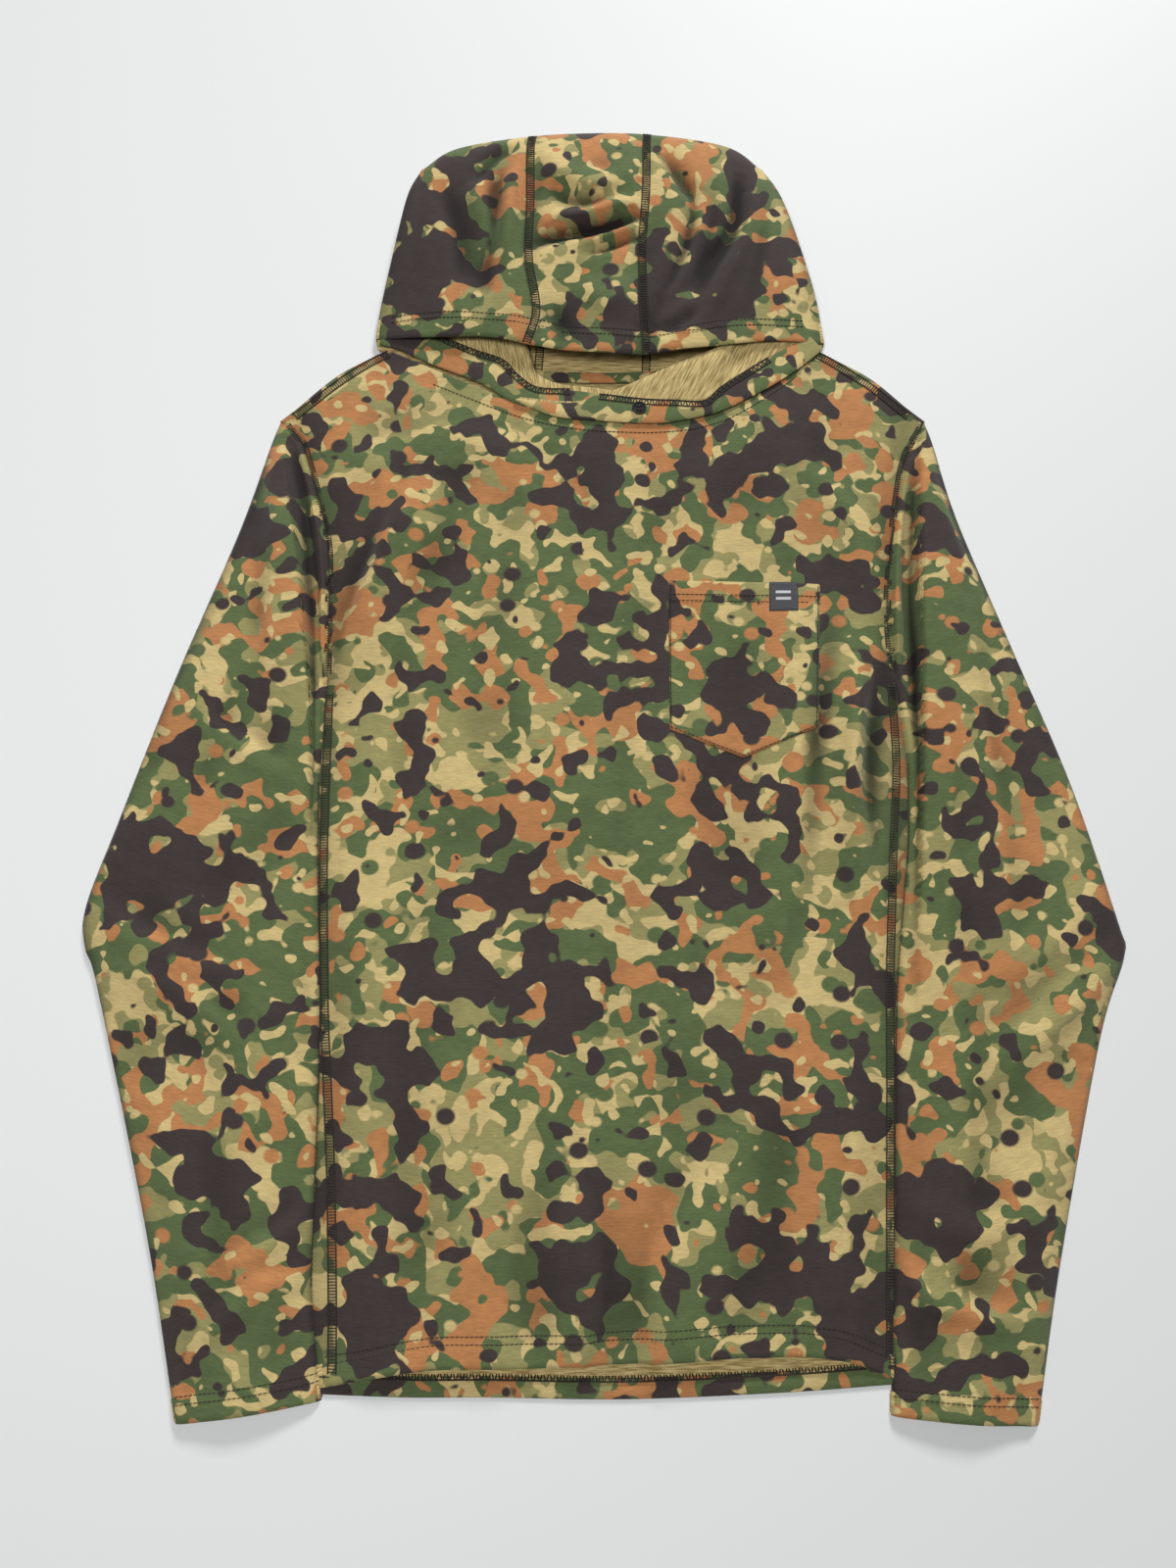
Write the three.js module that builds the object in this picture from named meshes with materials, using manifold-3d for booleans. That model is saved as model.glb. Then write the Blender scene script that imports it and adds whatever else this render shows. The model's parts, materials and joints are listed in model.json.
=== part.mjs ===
import * as THREE from "three";
import { mergeVertices } from "three/addons/utils/BufferGeometryUtils.js";
import Module from "manifold-3d";

// A hooded camouflage pullover laid out on its back, sleeves beside the body and hood above the neck.
// Millimetres. +X points to the viewer's right, +Y from the hem to the hood, +Z up off the table.

// Driving dimensions
const cloth = 1.2; // thickness of a cloth solid
const gap = 0.35; // air kept between neighbouring solids
const threadThickness = 0.6;
const seamWidth = 6; // flat seam that joins two panels
const hemStitchWidth = 5; // twin-needle row of a turned hem
const hemDepth = 15; // hem edge to its stitching
const bodyRise = 8; // how far the front stands off the back
const bodyShoulder = { flatTo: 110, downAt: 215 }; // the front is level to the first, down by the second
const sleeveEdge = 3.4; // thickness of a sleeve at its fold
const sleeveRise = 7.6;
const sleeveGap = 2.6; // sleeve head to body panels
const sleeveLength = 720; // along the sleeve's outer fold
const armholeBulge = 20; // how far the armhole curves into the body
const foldRadius = 1.7; // sharpest fold of the hood
const neckSeamGap = 1.4; // hood to back panel
const hoodMouthRise = 20; // height of the hood's top layer at its mouth
const hoodSeams = { left: -55, right: 35 };
const crownY = 470;
const button = { x: 28.6, y: 238.7, radius: 5.3, thickness: 2.2, hole: 0.8, pitch: 1.5 };

// Plan outlines, from the top of each line to its foot
const plan = {
  left: {
    sign: -1,
    shoulder: [-245, 233],
    underarm: [-201, 25],
    sideSeam: [[-201, 25], [-196, -118], [-188, -253], [-182, -348], [-178, -441]],
    sleeveOuter: [
      [-273, 143], [-312, 32], [-346, -76], [-365, -146], [-351, -193], [-305, -354], [-278, -469],
    ],
    sleeveInner: [[-207, -20], [-200, -118], [-192, -253], [-186, -379], [-182, -453]],
  },
  right: {
    sign: 1,
    shoulder: [246, 233],
    underarm: [213, 31],
    sideSeam: [[213, 31], [209, -70], [203, -187], [196, -330], [190, -439]],
    sleeveOuter: [[267, 155], [301, 55], [336, -47], [365, -166], [342, -227], [303, -373], [281, -470]],
    sleeveInner: [[213, -20], [212, -70], [207, -187], [199, -330], [190, -463]],
  },
};
const frontHem = [[-178, -441], [-86, -431], [3, -429], [92, -425], [190, -439]];
const backHem = [[-178, -452], [-74, -454], [16, -455], [118, -451], [190, -445]];
const frontNeck = [
  [-165, 290], [-137, 273], [-99, 256], [-55, 238], [-10, 229], [34, 226], [86, 234], [132, 260], [166, 290],
];
const leftFlapEdge = [[-160, 289], [-126, 277], [-85, 267], [-51, 255], [-24, 250], [12, 246]];
const leftFlapFoot = [[-164, 291], [-136, 274], [-98, 257], [-54, 239], [12, 230]];
const rightFlapEdge = [[161, 288], [114, 273], [66, 263], [20, 256], [-28, 251]];
const rightFlapFoot = [[167, 291], [133, 260], [87, 234], [34, 226], [-50, 237]];
const pocketPlan = { top: [[49, 103], [160, 100]], foot: [[48, -10], [101, -30], [155, -8]] };
const pocketRise = 6.4; // how far the pocket's mouth gapes
const labelPlan = { left: 122, right: 143, foot: 79, top: 102.5 };

const material = (color, roughness, metalness = 0) =>
  new THREE.MeshStandardMaterial({ color, roughness, metalness, side: THREE.FrontSide });
const jersey = material(0x5f6140, 0.9);
const tapeCloth = material(0x46553a, 0.85);
const thread = material(0x2c2622, 0.8);
const wovenLabel = material(0x3c3c3e, 0.8);
const buttonResin = material(0x17171a, 0.3);

const garment = new THREE.Group();

function add(name, geometry, look) {
  geometry.computeVertexNormals();
  const mesh = new THREE.Mesh(geometry, look);
  mesh.name = name;
  garment.add(mesh);
}

// Curves in plan: a smooth one through its points, or straight runs with corners
function smooth(points) {
  const places = points.map(([x, y]) => new THREE.Vector3(x, y, 0));
  const curve = new THREE.CatmullRomCurve3(places, false, "centripetal");
  return (t) => curve.getPointAt(THREE.MathUtils.clamp(t, 0, 1));
}

function straight(points) {
  const curve = new THREE.CurvePath();
  for (let i = 1; i < points.length; i++) {
    const [a, b] = [points[i - 1], points[i]];
    curve.add(new THREE.LineCurve3(new THREE.Vector3(a[0], a[1], 0), new THREE.Vector3(b[0], b[1], 0)));
  }
  return (t) => curve.getPointAt(THREE.MathUtils.clamp(t, 0, 1));
}

// One closed solid from two stacks of points, a front and a back skin with the same rows and columns
function closedSolid(front, back, wrapColumns = false) {
  const rows = front.length;
  const columns = front[0].length;
  const points = [...front.flat(), ...back.flat()];
  const at = (skin, row, column) => skin * rows * columns + row * columns + (column % columns);
  const index = [];
  const quad = (a, b, c, d) => index.push(a, b, c, a, c, d);
  const lastColumn = wrapColumns ? columns : columns - 1;
  for (let row = 0; row < rows - 1; row++) {
    for (let column = 0; column < lastColumn; column++) {
      quad(at(0, row, column), at(0, row, column + 1), at(0, row + 1, column + 1), at(0, row + 1, column));
      quad(at(1, row, column), at(1, row + 1, column), at(1, row + 1, column + 1), at(1, row, column + 1));
    }
    if (wrapColumns) continue;
    quad(at(0, row, 0), at(0, row + 1, 0), at(1, row + 1, 0), at(1, row, 0));
    quad(at(0, row + 1, lastColumn), at(0, row, lastColumn), at(1, row, lastColumn), at(1, row + 1, lastColumn));
  }
  for (let column = 0; column < lastColumn; column++) {
    quad(at(0, 0, column + 1), at(0, 0, column), at(1, 0, column), at(1, 0, column + 1));
    const end = rows - 1;
    quad(at(0, end, column), at(0, end, column + 1), at(1, end, column + 1), at(1, end, column));
  }
  const geometry = new THREE.BufferGeometry().setFromPoints(points);
  geometry.setIndex(index);
  return facingOut(geometry);
}

function facingOut(geometry) {
  const position = geometry.getAttribute("position");
  const index = geometry.index.array;
  const corner = (i) => new THREE.Vector3().fromBufferAttribute(position, index[i]);
  let volume = 0;
  for (let i = 0; i < index.length; i += 3) volume += corner(i).dot(corner(i + 1).cross(corner(i + 2)));
  for (let i = 0; volume < 0 && i < index.length; i += 3) [index[i], index[i + 2]] = [index[i + 2], index[i]];
  return geometry;
}

// A sheet of cloth: the middle surface as a grid of points, given its thickness along its own normals
function sheet(grid, thickness = cloth) {
  const rows = grid.length;
  const columns = grid[0].length;
  const normalAt = (row, column) => {
    const along = grid[Math.min(row + 1, rows - 1)][column].clone().sub(grid[Math.max(row - 1, 0)][column]);
    const across = grid[row][Math.min(column + 1, columns - 1)].clone().sub(grid[row][Math.max(column - 1, 0)]);
    return across.cross(along).normalize();
  };
  const skin = (offset) => grid.map((line, row) => line.map((p, column) =>
    p.clone().addScaledVector(normalAt(row, column), offset)));
  return closedSolid(skin(thickness / 2), skin(-thickness / 2));
}

// A flat-lying sheet keeps its faces level, so its middle surface is only moved up and down
function levelSheet(grid, thickness = cloth) {
  const skin = (offset) => grid.map((line) => line.map((p) => new THREE.Vector3(p.x, p.y, p.z + offset)));
  return closedSolid(skin(thickness / 2), skin(-thickness / 2));
}

const steps = (count) => Array.from({ length: count + 1 }, (_, i) => i / count);

// Four-sided patch between a foot, a top and two side curves; heightAt gives the middle surface
function patch(foot, top, left, right, heightAt, columns, rows) {
  return steps(rows).map((v) => steps(columns).map((u) => {
    const corners = [foot(0), foot(1), top(0), top(1)];
    const point = foot(u).multiplyScalar(1 - v).addScaledVector(top(u), v)
      .addScaledVector(left(v), 1 - u).addScaledVector(right(v), u)
      .addScaledVector(corners[0], -(1 - u) * (1 - v)).addScaledVector(corners[1], -u * (1 - v))
      .addScaledVector(corners[2], -(1 - u) * v).addScaledVector(corners[3], -u * v);
    point.z = heightAt(point.x, point.y);
    return point;
  }));
}

// A strip of stitching along a plan curve, lying on the surface that heightAt gives
function stitching(curve, width, heightAt, count) {
  const grid = steps(count).map((t) => {
    const here = curve(t);
    const ahead = curve(Math.min(t + 0.01, 1)).sub(curve(Math.max(t - 0.01, 0))).normalize();
    const side = new THREE.Vector3(ahead.y, -ahead.x, 0);
    return [-0.5, 0, 0.5].map((across) => {
      const p = here.clone().addScaledVector(side, across * width);
      p.z = heightAt(p.x, p.y) + gap + threadThickness / 2;
      return p;
    });
  });
  return levelSheet(grid, threadThickness);
}

// Body: a flat back and a front that stands off it
const backTop = cloth;
const backMiddle = () => cloth / 2;

function frontMiddle(x, y) {
  const across = 1 - THREE.MathUtils.smoothstep(Math.abs(x), bodyShoulder.flatTo, bodyShoulder.downAt);
  const towardsNeck = 1 - 0.5 * (Math.max(0, y - 150) / 150) ** 2;
  return backTop + gap + cloth / 2 + bodyRise * across * towardsNeck;
}
const frontTop = (x, y) => frontMiddle(x, y) + cloth / 2;

function armhole(side, s, clearance = 0) {
  const { sign, shoulder, underarm } = side;
  const inwards = armholeBulge * Math.sin(Math.PI * s) - clearance;
  const x = THREE.MathUtils.lerp(shoulder[0], underarm[0], s) - sign * inwards;
  return new THREE.Vector3(x, THREE.MathUtils.lerp(shoulder[1], underarm[1], s), 0);
}

const underarmAt = 0.69; // share of the body's edge that is side seam
function bodyEdge(side) {
  const seam = smooth([...side.sideSeam].reverse());
  return (v) => (v < underarmAt ? seam(v / underarmAt) : armhole(side, (1 - v) / (1 - underarmAt)));
}

const shoulderLine = (side, neckPoint) => [side.shoulder, [side.sign * 206, 267], neckPoint];
const backNeckY = (x) => 268 + 23 * (x / 165) ** 2;
const frontTopEdge = straight([...shoulderLine(plan.left, frontNeck[0]), ...frontNeck.slice(1, -1),
  ...shoulderLine(plan.right, frontNeck.at(-1)).reverse()]);
const backNeck = steps(6).map((t) => [-165 + 330 * t, backNeckY(-165 + 330 * t)]);
const backTopEdge = straight([...shoulderLine(plan.left, backNeck[0]), ...backNeck.slice(1, -1),
  ...shoulderLine(plan.right, backNeck.at(-1)).reverse()]);

const bodySides = [bodyEdge(plan.left), bodyEdge(plan.right)];
add("body_back", levelSheet(patch(smooth(backHem), backTopEdge, ...bodySides, backMiddle, 16, 16)), jersey);
add("body_front", levelSheet(patch(smooth(frontHem), frontTopEdge, ...bodySides, frontMiddle, 20, 18)), jersey);

// Sleeves: flattened tubes from the armhole to the cuff
const sleeveTop = (s, v) =>
  sleeveEdge + sleeveRise * (0.6 + 0.4 * Math.min(1, v / 0.15)) * (1 - Math.abs(2 * s - 1) ** 4);

function sleeveFold(side, points, s) {
  const start = armhole(side, s, sleeveGap);
  return smooth([[start.x, start.y], ...points]);
}

function sleevePoint(side, folds, s, v, z) {
  const headBulge = side.sign * -armholeBulge * Math.sin(Math.PI * s) * (1 - v) ** 6;
  const point = folds.outer(v).lerp(folds.inner(v), s);
  return point.set(point.x + headBulge, point.y, z);
}

function sleeve(name, side) {
  const folds = { outer: sleeveFold(side, side.sleeveOuter, 0), inner: sleeveFold(side, side.sleeveInner, 1) };
  const loop = (v, inset, wall) => {
    const low = steps(4).map((t) => [inset + (1 - 2 * inset) * t, wall]);
    const high = steps(8).map((t) => inset + (1 - 2 * inset) * (1 - t)).map((s) => [s, sleeveTop(s, v) - wall]);
    return [...low, ...high].map(([s, z]) => sleevePoint(side, folds, s, v, z));
  };
  const rows = steps(18);
  const outside = rows.map((v) => loop(v, 0, 0));
  const inside = rows.map((v) => loop(v, 0.025, cloth));
  add(name + "_sleeve", closedSolid(outside, inside, true), jersey);

  const cuffV = 1 - hemDepth / sleeveLength;
  const cuffGrid = [-0.5, 0.5].map((across) => steps(10).map((t) => {
    const v = cuffV + (across * hemStitchWidth) / sleeveLength;
    const s = 0.06 + 0.88 * t;
    return sleevePoint(side, folds, s, v, sleeveTop(s, v) + gap + threadThickness / 2);
  }));
  add(name + "_cuff_stitching", levelSheet(cuffGrid, threadThickness), thread);

  // the sleeve's own long seam runs down its inner fold
  const seamGrid = steps(12).map((t) => {
    const v = 0.02 + 0.95 * t;
    const edge = sleevePoint(side, folds, 1, v, 0);
    const x = edge.x - side.sign * (2 * gap + threadThickness / 2);
    return [0.8, 2.8].map((z) => new THREE.Vector3(x, edge.y, z));
  });
  add(name + "_sleeve_seam", sheet(seamGrid, threadThickness), thread);
}
sleeve("left", plan.left);
sleeve("right", plan.right);

// Flat seams and hem stitching that lie on the body
for (const [name, side] of Object.entries(plan)) {
  const inwards = -side.sign * (seamWidth / 2 + 1);
  const offset = (p) => p.setX(p.x + inwards);
  const edge = bodyEdge(side);
  const sideSeam = (t) => offset(edge(underarmAt * (0.02 + 0.97 * t)));
  const armholeSeam = (t) => offset(armhole(side, 0.95 - 0.9 * t));
  const neckPoint = [side.sign * 160, 284];
  const seamLine = smooth([[side.sign * 232, 234], [side.sign * 203, 260], neckPoint]);
  add(name + "_side_seam", stitching(sideSeam, seamWidth, frontTop, 14), thread);
  add(name + "_armhole_seam", stitching(armholeSeam, seamWidth, frontTop, 10), thread);
  add(name + "_shoulder_seam", stitching(seamLine, seamWidth, frontTop, 6), thread);
}
const raised = (points, dy, inset) => smooth(points.map(([x, y]) => [x * inset, y + dy]));
add("front_hem_stitching", stitching(raised(frontHem, hemDepth, 0.94), hemStitchWidth, frontTop, 12), thread);
add("back_hem_stitching", stitching(raised(backHem, 12, 0.94), hemStitchWidth, () => backTop, 12), thread);

// Crossover front of the hood, wrapped left under right
const flapLift = { left: cloth + gap, right: 2 * (cloth + gap) };
const rightFlapTop = (x, y) => frontTop(x, y) + flapLift.right;
function flap(name, edge, foot, lift) {
  const curves = [smooth(foot), smooth(edge)];
  const heightAt = (x, y) => frontMiddle(x, y) + lift;
  const grid = steps(3).map((v) => steps(12).map((u) => {
    const p = curves[0](u).lerp(curves[1](u), v);
    return p.setZ(heightAt(p.x, p.y));
  }));
  add(name + "_neck_wrap", levelSheet(grid), jersey);
}
flap("left", leftFlapEdge, leftFlapFoot, flapLift.left);
flap("right", rightFlapEdge, rightFlapFoot, flapLift.right);
const leftWrapHem = smooth([[-122, 272], [-86, 259], [-60, 249]]);
const rightWrapHem = smooth([[140, 275], [114, 262], [88, 249], [30, 248], [-20, 247]]);
const leftFlapTop = (x, y) => frontTop(x, y) + flapLift.left;
add("left_wrap_stitching", stitching(leftWrapHem, hemStitchWidth, leftFlapTop, 6), thread);
add("right_wrap_stitching", stitching(rightWrapHem, hemStitchWidth, rightFlapTop, 12), thread);
const neckTopstitch = smooth([[-92, 248], [-50, 230], [-10, 221], [34, 218], [84, 225], [126, 246]]);
add("neck_topstitching", stitching(neckTopstitch, 1.5, frontTop, 14), thread);

// Hood: three panels, a top layer over a bottom layer, open towards the chest
const hoodEdge = smooth([[174, 302], [170, 332], [158, 392], [149, 427], [138, 444], [112, 459]]);
function hoodSideX(y) {
  let [low, high] = [0, 1];
  for (let i = 0; i < 24; i++) {
    const middle = (low + high) / 2;
    if (hoodEdge(middle).y < y) low = middle;
    else high = middle;
  }
  return hoodEdge(low).x;
}
const hoodMouthY = (x) => 282 + 18 * (x / 172) ** 2;
function hoodMiddle(x, y) {
  const t = THREE.MathUtils.clamp((y - 282) / (crownY - 282), 0, 1);
  const across = 1 - Math.min(1, Math.abs(x) / hoodSideX(y)) ** 2.2;
  return cloth / 2 + 2 * foldRadius + (hoodMouthRise + 30 * t) * (1 - t ** 4) * across;
}
const fold = [60, 20, -20, -60].map(THREE.MathUtils.degToRad);

function hoodCentre() {
  const grid = [];
  const topY = crownY - 6;
  for (const t of steps(12)) {
    grid.push((x) => [x, THREE.MathUtils.lerp(hoodMouthY(x), topY, t), null]);
  }
  for (const a of fold) {
    grid.push((x) => [x, topY + 5 * Math.cos(a), cloth / 2 + foldRadius + 1 + (foldRadius + 1) * Math.sin(a)]);
  }
  for (const t of steps(5)) {
    grid.push((x) => [x, THREE.MathUtils.lerp(topY, backNeckY(x) + neckSeamGap, t), cloth / 2]);
  }
  const middleSheet = grid.map((line) => steps(5).map((u) => {
    const x = THREE.MathUtils.lerp(hoodSeams.left + gap, hoodSeams.right - gap, u);
    const [px, py, pz] = line(x);
    return new THREE.Vector3(px, py, pz ?? hoodMiddle(px, py));
  }));
  add("hood_centre_panel", sheet(middleSheet), jersey);
}
hoodCentre();

function hoodSide(name, sign, seamX) {
  const startX = seamX + sign * gap;
  const grid = steps(12).map((v) => {
    const line = [];
    const y = (x) => THREE.MathUtils.lerp(hoodMouthY(x), 459, v);
    const side = sign * (hoodSideX(THREE.MathUtils.lerp(300, 459, v)) - foldRadius);
    for (const u of steps(6)) {
      const x = THREE.MathUtils.lerp(startX, side, u);
      line.push(new THREE.Vector3(x, y(x), Math.max(hoodMiddle(x, y(x)), cloth / 2 + 2 * foldRadius)));
    }
    for (const a of fold) {
      line.push(new THREE.Vector3(side + sign * foldRadius * Math.cos(a), y(side),
        cloth / 2 + foldRadius + foldRadius * Math.sin(a)));
    }
    for (const u of steps(4)) {
      const x = THREE.MathUtils.lerp(side, startX, u);
      line.push(new THREE.Vector3(x, Math.max(y(x), backNeckY(x) + neckSeamGap), cloth / 2));
    }
    return line;
  });
  add(name, sheet(grid), jersey);
}
hoodSide("hood_left_panel", -1, hoodSeams.left);
hoodSide("hood_right_panel", 1, hoodSeams.right);

const hoodTop = (x, y) => hoodMiddle(x, y) + cloth / 2 + 0.4;
for (const [name, x] of Object.entries(hoodSeams)) {
  const seam = smooth([[x, 284], [x, 370], [x, 450]]);
  add("hood_" + name + "_seam", stitching(seam, seamWidth, hoodTop, 12), thread);
}
const hoodHemLine = smooth([-140, -100, -55, -10, 35, 90, 140].map((x) => [x, hoodMouthY(x) + hemDepth]));
const hoodHemTop = (x, y) => hoodTop(x, y) + threadThickness + gap;
add("hood_hem_stitching", stitching(hoodHemLine, hemStitchWidth, hoodHemTop, 16), thread);

// Tape over the back neck seam, inside the neck
const tape = steps(6).map((t) => [-62 + 120 * t, backNeckY(-62 + 120 * t) - 5]);
add("neck_tape", stitching(smooth(tape), 9, () => backTop, 8), tapeCloth);

// Chest pocket with its stitching and label
const pocketTopEdge = straight(pocketPlan.top);
const pocketFoot = straight(pocketPlan.foot);
function pocketMiddle(x, y) {
  const fromSide = Math.min(x - 49, 158 - x);
  const gape = THREE.MathUtils.smoothstep(fromSide, 0, 32) * THREE.MathUtils.smoothstep(y, -22, 12);
  return frontTop(x, y) + gap + cloth / 2 + pocketRise * gape;
}
const pocketTop = (x, y) => pocketMiddle(x, y) + cloth / 2 + 0.3; // clears the sheet's own facets
const pocketGrid = steps(10).map((v) => steps(10).map((u) => {
  const p = pocketFoot(u).lerp(pocketTopEdge(u), v);
  return p.setZ(pocketMiddle(p.x, p.y));
}));
add("chest_pocket", levelSheet(pocketGrid), jersey);
const pocketHem = straight([[54, 103 - hemDepth], [116, 86.5]]);
add("pocket_hem_stitching", stitching(pocketHem, hemStitchWidth, pocketTop, 10), thread);
const pocketEdge = straight([[51.2, 97], [50.8, -8], [101, -27.2], [152.6, -6], [157, 95]]);
add("pocket_topstitching", stitching(pocketEdge, 1.2, pocketTop, 40), thread);
const labelGrid = steps(4).map((v) => steps(3).map((u) => {
  const x = THREE.MathUtils.lerp(labelPlan.left, labelPlan.right, u);
  const y = THREE.MathUtils.lerp(labelPlan.foot, labelPlan.top, v);
  return new THREE.Vector3(x, y, pocketTop(x, y) + 2 * gap + 1.5 * threadThickness);
}));
add("pocket_label", levelSheet(labelGrid, threadThickness), wovenLabel);

// Sewn button at the crossing of the wrap
const wasm = await Module();
wasm.setup();

function toSolid(geometry) {
  const bare = geometry.clone();
  bare.deleteAttribute("normal");
  bare.deleteAttribute("uv");
  const merged = mergeVertices(bare, 1e-4);
  return new wasm.Manifold(new wasm.Mesh({
    numProp: 3,
    vertProperties: merged.attributes.position.array,
    triVerts: new Uint32Array(merged.index.array),
  }));
}

function fromSolid(solid) {
  const mesh = solid.getMesh();
  const geometry = new THREE.BufferGeometry();
  geometry.setAttribute("position", new THREE.BufferAttribute(mesh.vertProperties, 3));
  geometry.setIndex(new THREE.BufferAttribute(mesh.triVerts, 1));
  return geometry;
}

const post = (radius, height, x, y, z) =>
  toSolid(new THREE.CylinderGeometry(radius, radius, height, 10).rotateX(Math.PI / 2).translate(x, y, z));
const holes = [[-1, -1], [-1, 1], [1, -1], [1, 1]].map(([x, y]) => [x * button.pitch, y * button.pitch]);
const buttonBase = rightFlapTop(button.x, button.y) + 0.9;

function sewnButton() {
  const { radius, thickness, hole } = button;
  const profile = [[0, 0], [radius - 1, 0], [radius, 0.8], [radius, thickness - 0.4], [radius - 0.4, thickness],
    [radius - 1.2, thickness], [radius - 1.7, thickness - 0.7], [0, thickness - 0.7]];
  const disc = new THREE.LatheGeometry(profile.map(([r, z]) => new THREE.Vector2(r, z)), 28).rotateX(Math.PI / 2);
  let solid = toSolid(disc);
  for (const [x, y] of holes) solid = solid.subtract(post(hole, 3 * thickness, x, y, 0));
  return solid.translate([button.x, button.y, buttonBase]);
}

function buttonThread() {
  const bars = button.thickness - 0.7 + 0.55;
  let solid = post(button.pitch * 1.6, 0.4, 0, 0, -0.5);
  for (const [x, y] of holes) solid = solid.add(post(0.45, bars + 0.6, x, y, (bars - 0.6) / 2));
  for (const y of [-button.pitch, button.pitch]) {
    const bar = new THREE.BoxGeometry(2 * button.pitch + 0.9, 0.9, 0.5).translate(0, y, bars);
    solid = solid.add(toSolid(bar));
  }
  return solid.translate([button.x, button.y, buttonBase]);
}
add("neck_button", fromSolid(sewnButton()), buttonResin);
add("button_thread", fromSolid(buttonThread()), thread);

// The origin sits under the middle of the whole garment, on the table
const box = new THREE.Box3().setFromObject(garment);
const middle = box.getCenter(new THREE.Vector3());
garment.position.set(-middle.x, -middle.y, -box.min.z);
const pullover = new THREE.Group();
pullover.add(garment);
export default pullover;
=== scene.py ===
import json
import math

import bmesh
import bpy
import numpy as np
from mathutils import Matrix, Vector
from mathutils.bvhtree import BVHTree

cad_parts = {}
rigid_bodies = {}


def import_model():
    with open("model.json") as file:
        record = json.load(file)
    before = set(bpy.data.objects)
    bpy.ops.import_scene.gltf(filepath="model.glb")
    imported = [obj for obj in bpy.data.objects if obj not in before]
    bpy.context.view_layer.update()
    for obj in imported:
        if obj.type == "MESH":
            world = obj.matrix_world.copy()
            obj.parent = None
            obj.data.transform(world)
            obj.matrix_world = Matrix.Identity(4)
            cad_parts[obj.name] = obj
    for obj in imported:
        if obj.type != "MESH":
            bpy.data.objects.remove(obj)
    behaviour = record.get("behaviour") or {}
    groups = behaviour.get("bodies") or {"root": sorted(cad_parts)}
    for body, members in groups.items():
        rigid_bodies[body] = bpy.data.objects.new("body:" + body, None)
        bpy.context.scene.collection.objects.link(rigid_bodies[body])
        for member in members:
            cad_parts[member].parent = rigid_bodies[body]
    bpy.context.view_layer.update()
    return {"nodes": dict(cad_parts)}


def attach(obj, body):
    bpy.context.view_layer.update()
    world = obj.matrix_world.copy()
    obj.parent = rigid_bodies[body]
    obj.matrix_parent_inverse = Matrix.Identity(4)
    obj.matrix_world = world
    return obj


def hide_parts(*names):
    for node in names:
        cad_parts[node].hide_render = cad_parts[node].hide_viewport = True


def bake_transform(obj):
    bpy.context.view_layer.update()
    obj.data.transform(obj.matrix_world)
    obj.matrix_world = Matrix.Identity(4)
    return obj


# A hooded camouflage pullover of printed jersey, laid out on its back. Plans are in millimetres.
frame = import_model()
mm = 0.001
scene = bpy.context.scene


stageSettings = {
    "cameraPlace": (-0.0105, -0.203, 0.8),
    "cameraLean": 11,  # degrees from straight down, towards the hood
    "lens": 26,
    "sensorMm": 36,
    "floorSize": 4.0,
    "floorColour": "#eceeee",
    "floorRoughness": 0.6,
    "skyStrength": 0.15,
    "lamps": {  # place, size, watts
        "window": ((1.1, 3.4, 1.95), 0.8, 116),
        "overhead": ((-0.55, -0.25, 2.2), 0.9, 26),
    },
}


def linear(hexColour):
    values = [int(hexColour[i:i + 2], 16) / 255 for i in (1, 3, 5)]
    return tuple(v / 12.92 if v <= 0.04045 else ((v + 0.055) / 1.055) ** 2.4 for v in values) + (1.0,)


def addNode(tree, kind, inputs=None, **settings):
    node = tree.nodes.new(kind)
    for key, value in settings.items():
        setattr(node, key, value)
    for key, value in (inputs or {}).items():
        if isinstance(value, bpy.types.NodeSocket):
            tree.links.new(value, node.inputs[key])
        else:
            node.inputs[key].default_value = value
    return node


def makeStage():
    s = stageSettings
    camera = bpy.data.objects.new("camera", bpy.data.cameras.new("camera"))
    camera.location = s["cameraPlace"]
    camera.rotation_euler = (math.radians(s["cameraLean"]), 0, 0)
    camera.data.lens = s["lens"]
    camera.data.sensor_width = s["sensorMm"]
    scene.collection.objects.link(camera)
    scene.camera = camera

    for name, (place, size, watts) in s["lamps"].items():
        lamp = bpy.data.lights.new(name, "AREA")
        lamp.size = size
        lamp.energy = watts
        holder = bpy.data.objects.new(name, lamp)
        holder.location = place
        holder.rotation_euler = (Vector((0, 0, 0)) - Vector(place)).to_track_quat("-Z", "Y").to_euler()
        scene.collection.objects.link(holder)

    world = bpy.data.worlds.new("studio")
    world.use_nodes = True
    world.node_tree.nodes["Background"].inputs["Color"].default_value = (1, 1, 1, 1)
    world.node_tree.nodes["Background"].inputs["Strength"].default_value = s["skyStrength"]
    scene.world = world
    scene.view_settings.view_transform = "Standard"

    half = s["floorSize"] / 2
    mesh = bpy.data.meshes.new("floor")
    corners = [(-half, -half, 0), (half, -half, 0), (half, half, 0), (-half, half, 0)]
    mesh.from_pydata(corners, [], [(0, 1, 2, 3)])
    floor = bpy.data.objects.new("floor", mesh)
    scene.collection.objects.link(floor)
    paint = bpy.data.materials.new("mattTable")
    paint.use_nodes = True
    shader = paint.node_tree.nodes["Principled BSDF"]
    shader.inputs["Base Color"].default_value = linear(s["floorColour"])
    shader.inputs["Roughness"].default_value = s["floorRoughness"]
    mesh.materials.append(paint)


makeStage()
print("stage ready")


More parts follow.
